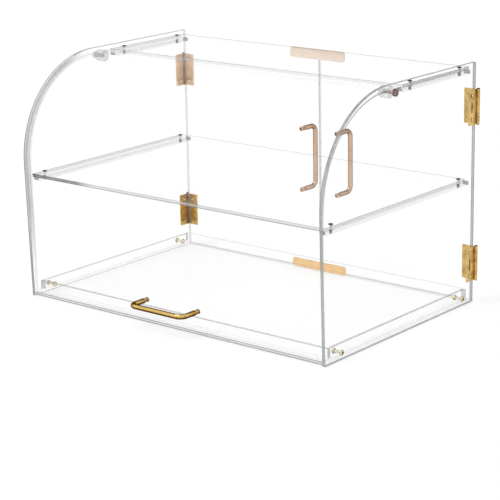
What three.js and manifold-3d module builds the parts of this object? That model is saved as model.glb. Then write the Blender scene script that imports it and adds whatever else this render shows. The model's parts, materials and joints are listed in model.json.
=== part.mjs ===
import * as THREE from 'three';
import { mergeVertices } from 'three/addons/utils/BufferGeometryUtils.js';
import Module from 'manifold-3d';

// Countertop pastry display case of clear acrylic sheet with brass hardware, in millimetres.
// X runs to the right, Y to the back and Z up. The origin is on the counter, below the middle.

const wasm = await Module();
wasm.setup();

// Case
const caseWidth = 550;
const caseDepth = 358;
const caseHeight = 354;
const sheet = 5;
const frontRadius = 149;
const frontBulge = 4;

// Clearances
const seatGap = 0.3;
const boreClearance = 0.3;
const doorSideClearance = 0.6;
const cutOverrun = 1;

// Floor and tray
const floorHeight = 1.5;
const floorFrontInset = 0.5;
const trayFrontSetback = 12.6;
const trayWallHeight = 14;
const trayScrewHeight = 10.8;
const trayFrontScrewInset = 22.5;
const trayBackScrewInset = 19.5;

// Shelf, top panel and the strips that carry them
const shelfTop = 187;
const shelfFrontGap = 0.8;
const shelfBackSetback = 16.5;
const shelfFrontScrewInset = 20.4;
const shelfBackScrewInset = 9.5;
const topPanelSwingGap = 0.8;
const topFrontScrewInset = 26;
const topBackScrewInset = 17.4;
const stripWidth = 10;
const stripHeight = 6;
const stripNoseRadius = 4.5;
const stripFrontGap = 2;
const stripBackGap = 1.5;

// Front door and its pivots
const doorTopRecess = 5.5;
const doorFootGap = 0.5;
const doorTailLength = 24.5;
const pivotSetback = 156.5;
const pivotDrop = 11.7;
const bossRadius = 8.5;
const bossLength = 15;
const bossEdgeRadius = 1;

// Back doors
const backDoorBottom = 2;
const backDoorTopDrop = 6.5;
const meetingGap = 1.5;

// Strike plates and door magnets
const strikeLength = 102;
const strikeThickness = 1.5;
const strikeCornerRadius = 4;
const topStrikeHeight = 16;
const bottomStrikeHeight = 13.5;
const bottomStrikeLift = 0.4;
const strikeGap = 0.3;
const magnetLength = 24;
const magnetHeight = 8;
const magnetThickness = 2.2;
const magnetFromMeeting = 12;

// Bow handles
const handleCentres = 96;
const handleRadius = 3.8;
const handleReach = 29;
const handleBendRadius = 10;
const handleBoreDepth = 10;
const handleScrewGrip = 8.5;
const frontHandleHeight = 32.5;
const backHandleHeight = 173.8;
const backHandleFromMeeting = 32.8;

// Butt hinges
const hingeHeight = 51;
const hingeLeafWidth = 22;
const hingeLeafThickness = 1.2;
const leafCornerRadius = 1.5;
const leafCornerGap = 0.4;
const knuckleRadius = 2.6;
const knuckleGap = 0.3;
const knuckleCount = 5;
const hingePinRadius = 1.2;
const hingePinHeadRadius = 2.2;
const hingePinHeadHeight = 0.8;
const hingeScrewSpacing = 35;
const hingeScrewFromPin = 14;
const lowerHingeHeight = 58.5;
const upperHingeDrop = 64;

// Screws and nuts
const screwRadius = 2;
const panHeadRadius = 3.4;
const panHeadHeight = 1.4;
const panelScrewTip = 1.8;
const trayHeadRadius = 4;
const trayHeadHeight = 2.4;
const trayScrewTip = 1;
const handleHeadRadius = 3.8;
const handleHeadHeight = 2.2;
const nutAcrossFlats = 7;
const nutThickness = 3.2;
const pivotScrewRadius = 2.5;
const pivotHeadRadius = 5.3;
const pivotHeadHeight = 3.8;
const pivotScrewGrip = 11;
const hingeScrewRadius = 1.5;
const hingeHeadRadius = 2.7;
const hingeHeadHeight = 1;
const hingeScrewShortfall = 0.5;

// Shares of a screw head's radius and height, along its crowned top
const crownRadiusShares = [1, 0.8];
const crownHeightShares = [0.5, 0.9];

// Facet counts
const roundSides = 24;
const handleSides = 14;
const screwSides = 12;
const bendSegments = 24;
const handleBendSteps = 7;
const cornerSegments = 4;
const nutSides = 6;

// Places worked out from the sizes above
const sideFace = caseWidth / 2;
const innerFace = sideFace - sheet;
const panelEnd = innerFace - seatGap;
const doorEnd = innerFace - doorSideClearance;
const frontFace = -caseDepth / 2;
const backFace = caseDepth / 2;
const floorTop = floorHeight + sheet;
const trayBottom = floorTop + seatGap;
const backDoorFront = backFace - sheet;
const backDoorTop = caseHeight - backDoorTopDrop;
const magnetFront = backDoorFront - seatGap - magnetThickness;
const strikeFront = magnetFront - strikeGap - strikeThickness;
const backPlane = strikeFront - seatGap;
const topPanelTop = caseHeight - doorTopRecess;
const shelfBottom = shelfTop - sheet;
const stripScrewX = panelEnd - stripWidth / 2;
const pivotY = frontFace + pivotSetback;
const pivotZ = caseHeight - pivotDrop;

// The side panels' front edge leans forwards from the foot and runs on into the arc. The front door
// is round the same centre, and upright below it.
const footSpan = frontRadius - frontBulge;
const arcCentreY = frontFace + footSpan;
const arcCentreZ = caseHeight - frontRadius;
const frontLean = Math.atan2(arcCentreZ, footSpan)
  - Math.acos(frontRadius / Math.hypot(footSpan, arcCentreZ));
const doorArcRadius = frontRadius - doorTopRecess;
const doorFront = arcCentreY - doorArcRadius;
const doorFootZ = floorTop + doorFootGap;
const doorTailReach = Math.hypot(doorTailLength, topPanelTop - pivotZ);
const topPanelFront = pivotY + doorTailReach + topPanelSwingGap;

// Hinges turn about upright axes just behind and outside the case's back corners
const hingeAxisX = sideFace + seatGap + knuckleRadius;
const hingeAxisY = backFace + seatGap + knuckleRadius;
const upperHingeHeight = caseHeight - upperHingeDrop;
const hingeMiddle = (upperHingeHeight + lowerHingeHeight) / 2;
const hingeHalfSpan = (upperHingeHeight - lowerHingeHeight) / 2;
const hingeScrewY = hingeAxisY - hingeScrewFromPin;
const hingeScrewHeights = [-1, 1].flatMap((hinge) => [-1, 1].map(
  (end) => hinge * hingeHalfSpan + end * hingeScrewSpacing / 2,
));

const hingeLevels = [['lower', -hingeHalfSpan], ['upper', hingeHalfSpan]];

// Names of the two sides, with their direction along X, and of the two ends along Y
const sides = [['left', -1], ['right', 1]];
const endNames = ['front', 'back'];

// Materials
function acrylic() {
  return new THREE.MeshStandardMaterial({
    color: 0xeef3f4, roughness: 0.06, metalness: 0, transparent: true, opacity: 0.35,
  });
}

function goldBrass() {
  return new THREE.MeshStandardMaterial({ color: 0xc8902a, roughness: 0.22, metalness: 1 });
}

function roseBrass() {
  return new THREE.MeshStandardMaterial({ color: 0xc39a6c, roughness: 0.26, metalness: 1 });
}

function paleBrass() {
  return new THREE.MeshStandardMaterial({ color: 0xe0ac62, roughness: 0.35, metalness: 1 });
}

function antiqueBrass() {
  return new THREE.MeshStandardMaterial({ color: 0xb08d4c, roughness: 0.32, metalness: 1 });
}

function darkBrass() {
  return new THREE.MeshStandardMaterial({ color: 0x6e5a3a, roughness: 0.35, metalness: 1 });
}

function magnetNickel() {
  return new THREE.MeshStandardMaterial({ color: 0xa9abab, roughness: 0.3, metalness: 1 });
}

// Turns a closed geometry into a solid that can be joined and cut.
function toSolid(geometry) {
  const bare = geometry.clone();
  bare.deleteAttribute('normal');
  bare.deleteAttribute('uv');
  const shared = mergeVertices(bare);
  return new wasm.Manifold(new wasm.Mesh({
    numProp: 3,
    vertProperties: new Float32Array(shared.attributes.position.array),
    triVerts: new Uint32Array(shared.index.array),
  }));
}

function toGeometry(solid) {
  const result = solid.getMesh();
  const geometry = new THREE.BufferGeometry();
  geometry.setAttribute('position', new THREE.BufferAttribute(result.vertProperties, 3));
  geometry.setIndex(new THREE.BufferAttribute(result.triVerts, 1));
  geometry.computeVertexNormals();
  return geometry;
}

// Joins the first list of geometries and cuts the second list from them.
function joinAndCut(bodies, cutters) {
  let solid = toSolid(bodies[0]);
  for (const body of bodies.slice(1)) {
    solid = solid.add(toSolid(body));
  }
  for (const cutter of cutters) {
    solid = solid.subtract(toSolid(cutter));
  }
  return toGeometry(solid);
}

function addPart(parent, name, geometry, material, x = 0, y = 0, z = 0) {
  const mesh = new THREE.Mesh(geometry, material);
  mesh.name = name;
  mesh.position.set(x, y, z);
  parent.add(mesh);
  return mesh;
}

// A rectangle about its middle, with round holes and, where a corner radius is given, round corners.
function rectangle(width, height, cornerRadius, holes) {
  const right = width / 2;
  const top = height / 2;
  const shape = new THREE.Shape();
  if (cornerRadius > 0) {
    shape.moveTo(right - cornerRadius, -top);
    shape.absarc(right - cornerRadius, cornerRadius - top, cornerRadius, -Math.PI / 2, 0);
    shape.absarc(right - cornerRadius, top - cornerRadius, cornerRadius, 0, Math.PI / 2);
    shape.absarc(cornerRadius - right, top - cornerRadius, cornerRadius, Math.PI / 2, Math.PI);
    shape.absarc(cornerRadius - right, cornerRadius - top, cornerRadius, Math.PI, 3 * Math.PI / 2);
  } else {
    shape.moveTo(-right, -top);
    shape.lineTo(right, -top);
    shape.lineTo(right, top);
    shape.lineTo(-right, top);
  }
  for (const [across, up, radius] of holes) {
    shape.holes.push(circlePath(across, up, radius));
  }
  return shape;
}

// A round hole as a regular polygon of the same number of sides as a screw.
function circlePath(across, up, radius) {
  const path = new THREE.Path();
  for (let side = 0; side < screwSides; side += 1) {
    const angle = (side / screwSides) * 2 * Math.PI;
    const pointAcross = across + radius * Math.cos(angle);
    const pointUp = up + radius * Math.sin(angle);
    if (side === 0) {
      path.moveTo(pointAcross, pointUp);
    } else {
      path.lineTo(pointAcross, pointUp);
    }
  }
  path.closePath();
  return path;
}

// Extrusions about their own middle. A shape's two axes become the two that are left, in order.
function extrudeAlongZ(shape, length, curveSegments = cornerSegments / 2) {
  const geometry = new THREE.ExtrudeGeometry(shape, { depth: length, bevelEnabled: false, curveSegments });
  return geometry.translate(0, 0, -length / 2);
}

function extrudeAlongY(shape, length, curveSegments = cornerSegments / 2) {
  return extrudeAlongZ(shape, length, curveSegments).rotateX(Math.PI / 2);
}

function extrudeAlongX(shape, length, curveSegments = cornerSegments / 2) {
  return extrudeAlongZ(shape, length, curveSegments).rotateY(Math.PI / 2).rotateX(Math.PI / 2);
}

// A screw along local Y: the head's seat at zero, its crown above and its shank below.
function screw(headRadius, headHeight, shankRadius, shankLength) {
  const profile = [
    new THREE.Vector2(0, -shankLength),
    new THREE.Vector2(shankRadius, -shankLength),
    new THREE.Vector2(shankRadius, 0),
    new THREE.Vector2(headRadius, 0),
  ];
  crownRadiusShares.forEach((radiusShare, step) => {
    profile.push(new THREE.Vector2(headRadius * radiusShare, headHeight * crownHeightShares[step]));
  });
  profile.push(new THREE.Vector2(0, headHeight));
  return new THREE.LatheGeometry(profile, screwSides);
}

function peg(radius, length, sides = screwSides) {
  return new THREE.CylinderGeometry(radius, radius, length, sides);
}

// Where the front door's inner face is at a given height.
function doorInnerY(height) {
  const innerRadius = doorArcRadius - sheet;
  const rise = Math.max(height - arcCentreZ, 0);
  return arcCentreY - Math.sqrt(innerRadius ** 2 - rise ** 2);
}

// Side panels
const trayFront = frontFace + trayFrontSetback;
const trayScrewPlaces = [trayFront + trayFrontScrewInset, backPlane - trayBackScrewInset];

function sidePanelShape() {
  const shape = new THREE.Shape();
  shape.moveTo(backFace, 0);
  shape.lineTo(backFace, caseHeight);
  shape.absarc(arcCentreY, arcCentreZ, frontRadius, Math.PI / 2, Math.PI + frontLean);
  shape.lineTo(frontFace, 0);
  for (const y of trayScrewPlaces) {
    shape.holes.push(circlePath(y, trayScrewHeight, screwRadius + boreClearance));
  }
  shape.holes.push(circlePath(pivotY, pivotZ, pivotScrewRadius + boreClearance));
  for (const height of hingeScrewHeights) {
    shape.holes.push(circlePath(hingeScrewY, hingeMiddle + height, hingeScrewRadius + boreClearance));
  }
  return shape;
}

// Strips: bonded to the side panels, with a round nose below at the front
function stripShape(length) {
  const front = -length / 2;
  const bottom = -stripHeight / 2;
  const shape = new THREE.Shape();
  shape.moveTo(-front, bottom);
  shape.lineTo(-front, -bottom);
  shape.lineTo(front, -bottom);
  shape.absarc(front + stripNoseRadius, bottom + stripNoseRadius, stripNoseRadius, Math.PI, 3 * Math.PI / 2);
  return shape;
}

function strip(length, screwPlaces) {
  const bores = screwPlaces.map((along) => peg(screwRadius + boreClearance, stripHeight + 2 * cutOverrun)
    .rotateX(Math.PI / 2).translate(0, along, 0));
  return joinAndCut([extrudeAlongX(stripShape(length), stripWidth)], bores);
}

// A panel on its two strips, held by four screws whose tips show below the strips.
function addPanelOnStrips(parent, name, front, back, top, stripFront, screwInsets) {
  const depth = back - front;
  const middle = (front + back) / 2;
  const screwYs = [front + screwInsets[0], back - screwInsets[1]];
  const holes = [-1, 1].flatMap((side) => screwYs.map(
    (y) => [side * stripScrewX, y - middle, screwRadius + boreClearance],
  ));
  const panel = extrudeAlongZ(rectangle(2 * panelEnd, depth, 0, holes), sheet);
  addPart(parent, name, panel, acrylic(), 0, middle, top - sheet / 2);

  const stripBack = backDoorFront - stripBackGap;
  const stripLength = stripBack - stripFront;
  const stripMiddle = (stripFront + stripBack) / 2;
  const stripZ = top - sheet - seatGap - stripHeight / 2;
  const bar = strip(stripLength, screwYs.map((y) => y - stripMiddle));
  addPart(parent, `${name}_strip_left`, bar, acrylic(), -stripScrewX, stripMiddle, stripZ);
  addPart(parent, `${name}_strip_right`, bar, acrylic(), stripScrewX, stripMiddle, stripZ);

  const shankLength = seatGap + sheet + seatGap + stripHeight + panelScrewTip;
  const one = screw(panHeadRadius, panHeadHeight, screwRadius, shankLength).rotateX(Math.PI / 2);
  for (const [side, direction] of sides) {
    screwYs.forEach((y, end) => {
      const screwName = `${name}_screw_${endNames[end]}_${side}`;
      addPart(parent, screwName, one, darkBrass(), direction * stripScrewX, y, top + seatGap);
    });
  }
}

// Floor plate with four low walls on it
function addTray(parent) {
  const floorFront = frontFace + floorFrontInset;
  const floorDepth = backPlane - floorFront;
  const floor = extrudeAlongZ(rectangle(2 * panelEnd, floorDepth, 0, []), sheet);
  addPart(parent, 'floor_plate', floor, acrylic(), 0, floorFront + floorDepth / 2, floorHeight + sheet / 2);

  const wallZ = trayBottom + trayWallHeight / 2;
  const longWall = new THREE.BoxGeometry(2 * panelEnd, sheet, trayWallHeight);
  addPart(parent, 'tray_wall_front', longWall, acrylic(), 0, trayFront + sheet / 2, wallZ);
  addPart(parent, 'tray_wall_back', longWall, acrylic(), 0, backPlane - sheet / 2, wallZ);

  const sideFront = trayFront + sheet + seatGap;
  const sideBack = backPlane - sheet - seatGap;
  const sideMiddle = (sideFront + sideBack) / 2;
  const holes = trayScrewPlaces.map(
    (y) => [y - sideMiddle, trayScrewHeight - wallZ, screwRadius + boreClearance],
  );
  const shortWall = extrudeAlongX(rectangle(sideBack - sideFront, trayWallHeight, 0, holes), sheet);
  addPart(parent, 'tray_wall_left', shortWall, acrylic(), sheet / 2 - panelEnd, sideMiddle, wallZ);
  addPart(parent, 'tray_wall_right', shortWall, acrylic(), panelEnd - sheet / 2, sideMiddle, wallZ);
}

// Screws from outside, each with its hexagon nut run up against the tray wall, one flat down
function addTrayScrews(parent) {
  const seat = sideFace + seatGap;
  const nutFace = seat - (panelEnd - sheet - seatGap);
  const shankLength = nutFace + nutThickness + trayScrewTip;
  const shank = screw(trayHeadRadius, trayHeadHeight, screwRadius, shankLength);
  const cornerRadius = nutAcrossFlats / Math.sqrt(3);
  const nut = peg(cornerRadius, nutThickness, nutSides).translate(0, -nutFace - nutThickness / 2, 0);
  const one = joinAndCut([shank, nut], []);
  for (const [side, direction] of sides) {
    trayScrewPlaces.forEach((y, end) => {
      const turned = one.clone().rotateZ(-direction * Math.PI / 2);
      const screwName = `tray_screw_${endNames[end]}_${side}`;
      addPart(parent, screwName, turned, goldBrass(), direction * seat, y, trayScrewHeight);
    });
  }
}

function addStrikePlates(parent) {
  const y = strikeFront + strikeThickness / 2;
  const topPlate = rectangle(strikeLength, topStrikeHeight, strikeCornerRadius, []);
  const topPlateZ = topPanelTop - topStrikeHeight / 2;
  addPart(parent, 'strike_plate_top', extrudeAlongY(topPlate, strikeThickness), paleBrass(), 0, y, topPlateZ);
  const bottomPlate = rectangle(strikeLength, bottomStrikeHeight, strikeCornerRadius, []);
  const bottomPlateZ = floorHeight + bottomStrikeLift + bottomStrikeHeight / 2;
  addPart(
    parent, 'strike_plate_bottom', extrudeAlongY(bottomPlate, strikeThickness), paleBrass(), 0, y, bottomPlateZ,
  );
  return [bottomPlateZ, topPlateZ];
}

// The centre line of a bow handle: two legs along Y from its feet, two bends and the bar along X.
// Its steps are spent on the bends: one step for each leg and one for the bar.
class BowHandleLine extends THREE.Curve {
  constructor(footDistance, reach, bendRadius, bendSteps) {
    super();
    this.halfSpan = footDistance / 2;
    this.reach = reach;
    this.bendRadius = bendRadius;
    this.bendSteps = bendSteps;
    this.steps = 2 * bendSteps + 3;
  }

  getUtoTmapping(share) {
    return share;
  }

  getPoint(share, target = new THREE.Vector3()) {
    const side = share < 1 / 2 ? -1 : 1;
    const step = Math.min(share, 1 - share) * this.steps;
    const legLength = this.reach - this.bendRadius;
    const halfBar = this.halfSpan - this.bendRadius;
    if (step < 1) {
      return target.set(side * this.halfSpan, step * legLength, 0);
    }
    if (step < 1 + this.bendSteps) {
      const angle = ((step - 1) / this.bendSteps) * Math.PI / 2;
      const across = halfBar + this.bendRadius * Math.cos(angle);
      return target.set(side * across, legLength + this.bendRadius * Math.sin(angle), 0);
    }
    const stepsToMiddle = this.steps / 2 - step;
    return target.set(side * halfBar * 2 * stepsToMiddle, this.reach, 0);
  }
}

// A bow handle with a blind screw bore in each foot. Its feet seat on local y = 0.
function bowHandle() {
  const section = new THREE.Shape(
    Array.from({ length: handleSides }, (_, side) => {
      const angle = (side / handleSides) * 2 * Math.PI;
      return new THREE.Vector2(handleRadius * Math.cos(angle), handleRadius * Math.sin(angle));
    }),
  );
  const line = new BowHandleLine(handleCentres, handleReach - seatGap, handleBendRadius, handleBendSteps);
  const rod = new THREE.ExtrudeGeometry(section, { steps: line.steps, extrudePath: line });
  const boreLength = handleBoreDepth + cutOverrun;
  const bores = [-1, 1].map((side) => peg(screwRadius + boreClearance, boreLength)
    .translate(side * handleCentres / 2, boreLength / 2 - cutOverrun, 0));
  return joinAndCut([rod], bores);
}

// A handle and its two screws on a group whose local y = 0 is the door's outer face.
function addHandle(mount, handleName, screwNames, material) {
  addPart(mount, handleName, bowHandle(), material, 0, seatGap, 0);
  const shankLength = sheet + 2 * seatGap + handleScrewGrip;
  const one = screw(handleHeadRadius, handleHeadHeight, screwRadius, shankLength).rotateX(Math.PI);
  screwNames.forEach((screwName, end) => {
    const along = (end - 1 / 2) * handleCentres;
    addPart(mount, screwName, one, darkBrass(), along, -sheet - seatGap, 0);
  });
}

// The bent sheet in its swinging frame, whose origin is the pivot axis
function frontDoorShape() {
  const centreY = arcCentreY - pivotY;
  const centreZ = arcCentreZ - pivotZ;
  const footY = doorFront - pivotY;
  const footZ = doorFootZ - pivotZ;
  const innerRadius = doorArcRadius - sheet;
  const shape = new THREE.Shape();
  shape.moveTo(footY + sheet, footZ);
  shape.lineTo(footY, footZ);
  shape.absarc(centreY, centreZ, doorArcRadius, Math.PI, Math.PI / 2, true);
  shape.lineTo(doorTailLength, centreZ + doorArcRadius);
  shape.lineTo(doorTailLength, centreZ + innerRadius);
  shape.absarc(centreY, centreZ, innerRadius, Math.PI / 2, Math.PI, false);
  return shape;
}

// A clear round boss along X with a threaded hole right through
function pivotBoss() {
  const half = bossLength / 2;
  const bore = pivotScrewRadius + boreClearance;
  const profile = [
    new THREE.Vector2(bore, -half),
    new THREE.Vector2(bossRadius - bossEdgeRadius, -half),
    new THREE.Vector2(bossRadius, bossEdgeRadius - half),
    new THREE.Vector2(bossRadius, half - bossEdgeRadius),
    new THREE.Vector2(bossRadius - bossEdgeRadius, half),
    new THREE.Vector2(bore, half),
    new THREE.Vector2(bore, -half),
  ];
  return new THREE.LatheGeometry(profile, roundSides).rotateZ(-Math.PI / 2);
}

function addFrontDoor(parent) {
  const swing = new THREE.Group();
  swing.position.set(0, pivotY, pivotZ);
  parent.add(swing);

  const mount = new THREE.Group();
  mount.position.set(0, doorFront - pivotY, frontHandleHeight - pivotZ);
  mount.rotation.x = Math.PI;
  mount.updateMatrix();
  swing.add(mount);

  const notchLength = bossLength + seatGap + cutOverrun;
  const notchX = doorEnd - bossLength - seatGap + notchLength / 2;
  const notches = [-1, 1].map((side) => peg(bossRadius + boreClearance, notchLength, roundSides)
    .rotateZ(Math.PI / 2).translate(side * notchX, 0, 0));
  const bores = [-1, 1].map((side) => peg(screwRadius + boreClearance, sheet + 2 * cutOverrun)
    .translate(side * handleCentres / 2, -sheet / 2, 0).applyMatrix4(mount.matrix));
  const bent = extrudeAlongX(frontDoorShape(), 2 * doorEnd, bendSegments / 2);
  addPart(swing, 'front_door', joinAndCut([bent], [...notches, ...bores]), acrylic());

  const bossX = doorEnd - bossLength / 2;
  addPart(swing, 'pivot_boss_left', pivotBoss(), acrylic(), -bossX);
  addPart(swing, 'pivot_boss_right', pivotBoss(), acrylic(), bossX);

  const seat = sideFace + seatGap;
  const shankLength = seat - doorEnd + pivotScrewGrip;
  const one = screw(pivotHeadRadius, pivotHeadHeight, pivotScrewRadius, shankLength);
  addPart(swing, 'pivot_screw_left', one.clone().rotateZ(Math.PI / 2), darkBrass(), -seat);
  addPart(swing, 'pivot_screw_right', one.clone().rotateZ(-Math.PI / 2), darkBrass(), seat);

  const screwNames = ['front_handle_screw_left', 'front_handle_screw_right'];
  addHandle(mount, 'front_handle', screwNames, goldBrass());
}

// One hinge leaf about its pin, along local Z: the plate lies towards -X, its back at y = -knuckleRadius.
// Its two screws are driven home in it, and reach through the sheet behind.
function hingeLeaf(knuckles) {
  const plateEnd = -knuckleRadius - leafCornerGap;
  const plateWidth = hingeLeafWidth + plateEnd;
  const plateX = plateEnd - plateWidth / 2;
  const plateY = hingeLeafThickness / 2 - knuckleRadius;
  const outline = rectangle(plateWidth, hingeHeight, leafCornerRadius, []);
  const plate = extrudeAlongY(outline, hingeLeafThickness).translate(plateX, plateY, 0);

  const segmentLength = (hingeHeight - (knuckleCount - 1) * knuckleGap) / knuckleCount;
  const segment = extrudeAlongZ(knuckleShape(plateEnd - leafCornerRadius), segmentLength, screwSides / 2);
  const middleKnuckle = (knuckleCount - 1) / 2;
  const segments = knuckles.map((index) => segment.clone()
    .translate(0, 0, (index - middleKnuckle) * (segmentLength + knuckleGap)));

  const headSeat = hingeLeafThickness - knuckleRadius;
  const shankLength = hingeLeafThickness + seatGap + sheet - hingeScrewShortfall;
  const oneScrew = screw(hingeHeadRadius, hingeHeadHeight, hingeScrewRadius, shankLength);
  const screws = [-1, 1].map((end) => oneScrew.clone()
    .translate(-hingeScrewFromPin, headSeat, end * hingeScrewSpacing / 2));
  return joinAndCut([plate, ...segments, ...screws], []);
}

// A strap that comes in flat from strapStart and curls round the pin
function knuckleShape(strapStart) {
  const strapTop = hingeLeafThickness - knuckleRadius;
  const curlEnd = Math.PI - Math.asin(strapTop / knuckleRadius);
  const shape = new THREE.Shape();
  shape.moveTo(strapStart, strapTop);
  shape.lineTo(strapStart, -knuckleRadius);
  shape.lineTo(0, -knuckleRadius);
  shape.absarc(0, 0, knuckleRadius, -Math.PI / 2, curlEnd);
  shape.holes.push(circlePath(0, 0, hingePinRadius + boreClearance));
  return shape;
}

// A pin along local Y with a flat head at each end
function hingePin() {
  const shankEnd = hingeHeight / 2 + seatGap;
  const headEnd = shankEnd + hingePinHeadHeight;
  const profile = [
    new THREE.Vector2(0, -headEnd),
    new THREE.Vector2(hingePinHeadRadius, -headEnd),
    new THREE.Vector2(hingePinHeadRadius, -shankEnd),
    new THREE.Vector2(hingePinRadius, -shankEnd),
    new THREE.Vector2(hingePinRadius, shankEnd),
    new THREE.Vector2(hingePinHeadRadius, shankEnd),
    new THREE.Vector2(hingePinHeadRadius, headEnd),
    new THREE.Vector2(0, headEnd),
  ];
  return new THREE.LatheGeometry(profile, screwSides);
}

// Turns that bring a leaf's frame onto the case's side panel or onto the door, on either side
const leafTurns = {
  left: { case: [0, 0, Math.PI / 2], door: [0, Math.PI, 0] },
  right: { case: [Math.PI, 0, -Math.PI / 2], door: [0, 0, 0] },
};

function addLeaves(parent, side, part, knuckles) {
  const turn = leafTurns[side][part];
  for (const [level, height] of hingeLevels) {
    const leaf = addPart(
      parent, `hinge_${level}_${side}_${part}_leaf`, hingeLeaf(knuckles), antiqueBrass(), 0, 0, height,
    );
    leaf.rotation.set(...turn);
  }
}

function knucklesFrom(first) {
  return Array.from({ length: knuckleCount }, (_, index) => index).filter((index) => index % 2 === first);
}

function addHingeCaseSides(parent, side, direction) {
  const axis = new THREE.Group();
  axis.position.set(direction * hingeAxisX, hingeAxisY, hingeMiddle);
  parent.add(axis);
  addLeaves(axis, side, 'case', knucklesFrom(0));
  for (const [level, height] of hingeLevels) {
    const pin = hingePin().rotateX(Math.PI / 2);
    addPart(axis, `hinge_${level}_${side}_pin`, pin, antiqueBrass(), 0, 0, height);
  }
}

// A back door in its swinging frame, whose origin is on the hinge axis at the hinges' middle height
function addBackDoor(parent, side, direction, strikeHeights) {
  const swing = new THREE.Group();
  swing.position.set(direction * hingeAxisX, hingeAxisY, hingeMiddle);
  parent.add(swing);

  const meetingEdge = meetingGap / 2;
  const width = doorEnd - meetingEdge;
  const height = backDoorTop - backDoorBottom;
  const middleX = direction * (meetingEdge + width / 2);
  const middleZ = backDoorBottom + height / 2;
  const handleX = direction * (meetingEdge + backHandleFromMeeting);
  const handleHoles = [-1, 1].map((end) => [
    handleX - middleX, backHandleHeight + end * handleCentres / 2 - middleZ, screwRadius + boreClearance,
  ]);
  const hingeHoles = hingeScrewHeights.map((fromMiddle) => [
    direction * (hingeAxisX - hingeScrewFromPin) - middleX,
    hingeMiddle + fromMiddle - middleZ,
    hingeScrewRadius + boreClearance,
  ]);
  const outline = rectangle(width, height, 0, [...handleHoles, ...hingeHoles]);
  const fromAxisX = middleX - direction * hingeAxisX;
  const fromAxisY = backFace - sheet / 2 - hingeAxisY;
  const fromAxisZ = middleZ - hingeMiddle;
  addPart(swing, `back_door_${side}`, extrudeAlongY(outline, sheet), acrylic(), fromAxisX, fromAxisY, fromAxisZ);

  const mount = new THREE.Group();
  mount.position.set(handleX - direction * hingeAxisX, backFace - hingeAxisY, backHandleHeight - hingeMiddle);
  mount.rotation.y = -Math.PI / 2;
  swing.add(mount);
  const screwNames = [`back_handle_screw_lower_${side}`, `back_handle_screw_upper_${side}`];
  addHandle(mount, `back_handle_${side}`, screwNames, roseBrass());

  const magnet = new THREE.BoxGeometry(magnetLength, magnetThickness, magnetHeight);
  const magnetX = direction * (meetingEdge + magnetFromMeeting + magnetLength / 2 - hingeAxisX);
  const magnetY = magnetFront + magnetThickness / 2 - hingeAxisY;
  strikeHeights.forEach((strikeZ, level) => {
    const magnetName = `door_magnet_${['lower', 'upper'][level]}_${side}`;
    addPart(swing, magnetName, magnet, magnetNickel(), magnetX, magnetY, strikeZ - hingeMiddle);
  });

  addLeaves(swing, side, 'door', knucklesFrom(1));
}

// Assembly
const model = new THREE.Group();

const sidePanel = extrudeAlongX(sidePanelShape(), sheet, bendSegments / 2);
addPart(model, 'side_panel_left', sidePanel, acrylic(), sheet / 2 - sideFace);
addPart(model, 'side_panel_right', sidePanel, acrylic(), sideFace - sheet / 2);

const topInsets = [topFrontScrewInset, topBackScrewInset];
addPanelOnStrips(model, 'top_panel', topPanelFront, backPlane, topPanelTop, topPanelFront, topInsets);

const shelfFront = Math.max(doorInnerY(shelfTop), doorInnerY(shelfBottom)) + shelfFrontGap;
const shelfBack = backFace - shelfBackSetback;
const shelfInsets = [shelfFrontScrewInset, shelfBackScrewInset];
addPanelOnStrips(model, 'shelf', shelfFront, shelfBack, shelfTop, shelfFront + stripFrontGap, shelfInsets);

addTray(model);
addTrayScrews(model);
const strikeHeights = addStrikePlates(model);
addFrontDoor(model);
for (const [side, direction] of sides) {
  addHingeCaseSides(model, side, direction);
  addBackDoor(model, side, direction, strikeHeights);
}

// The origin lies below the middle of everything, handles included
model.updateMatrixWorld(true);
const extent = new THREE.Box3().setFromObject(model);
model.position.y = -(extent.min.y + extent.max.y) / 2;

const group = new THREE.Group();
group.add(model);

export default group;
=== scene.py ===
import json
import math

import bmesh
import bpy
from bmesh.types import BMEdge, BMFace, BMVert
from bpy.props import FloatProperty, FloatVectorProperty, PointerProperty
from mathutils import Matrix, Vector

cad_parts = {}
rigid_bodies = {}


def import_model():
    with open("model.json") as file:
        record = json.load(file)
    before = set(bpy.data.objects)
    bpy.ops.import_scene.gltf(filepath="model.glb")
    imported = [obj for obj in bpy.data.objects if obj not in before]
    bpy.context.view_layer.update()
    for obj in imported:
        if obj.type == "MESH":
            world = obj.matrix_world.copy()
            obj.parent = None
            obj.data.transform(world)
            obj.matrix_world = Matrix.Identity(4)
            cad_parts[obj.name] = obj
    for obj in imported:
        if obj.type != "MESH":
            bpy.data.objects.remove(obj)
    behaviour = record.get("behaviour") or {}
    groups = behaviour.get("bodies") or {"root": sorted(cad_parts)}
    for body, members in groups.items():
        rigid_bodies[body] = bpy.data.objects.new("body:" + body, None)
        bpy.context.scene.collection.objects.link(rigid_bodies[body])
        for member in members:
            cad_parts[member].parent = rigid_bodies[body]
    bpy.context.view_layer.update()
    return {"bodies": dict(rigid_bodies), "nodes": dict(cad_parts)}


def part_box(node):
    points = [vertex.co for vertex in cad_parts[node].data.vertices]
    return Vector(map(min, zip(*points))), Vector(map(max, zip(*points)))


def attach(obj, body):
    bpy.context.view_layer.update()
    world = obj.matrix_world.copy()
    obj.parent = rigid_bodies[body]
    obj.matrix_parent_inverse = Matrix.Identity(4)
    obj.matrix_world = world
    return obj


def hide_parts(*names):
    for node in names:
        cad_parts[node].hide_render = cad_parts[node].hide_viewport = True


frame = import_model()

bl_info = {
    "name": "Countertop pastry display case",
    "version": (1, 0, 0),
    "blender": (4, 5, 0),
    "location": "3D View > Sidebar > Display Case",
    "description": "Builds the clear sheets, brass hardware and studio of a countertop pastry display case",
    "category": "Object",
}

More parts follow.
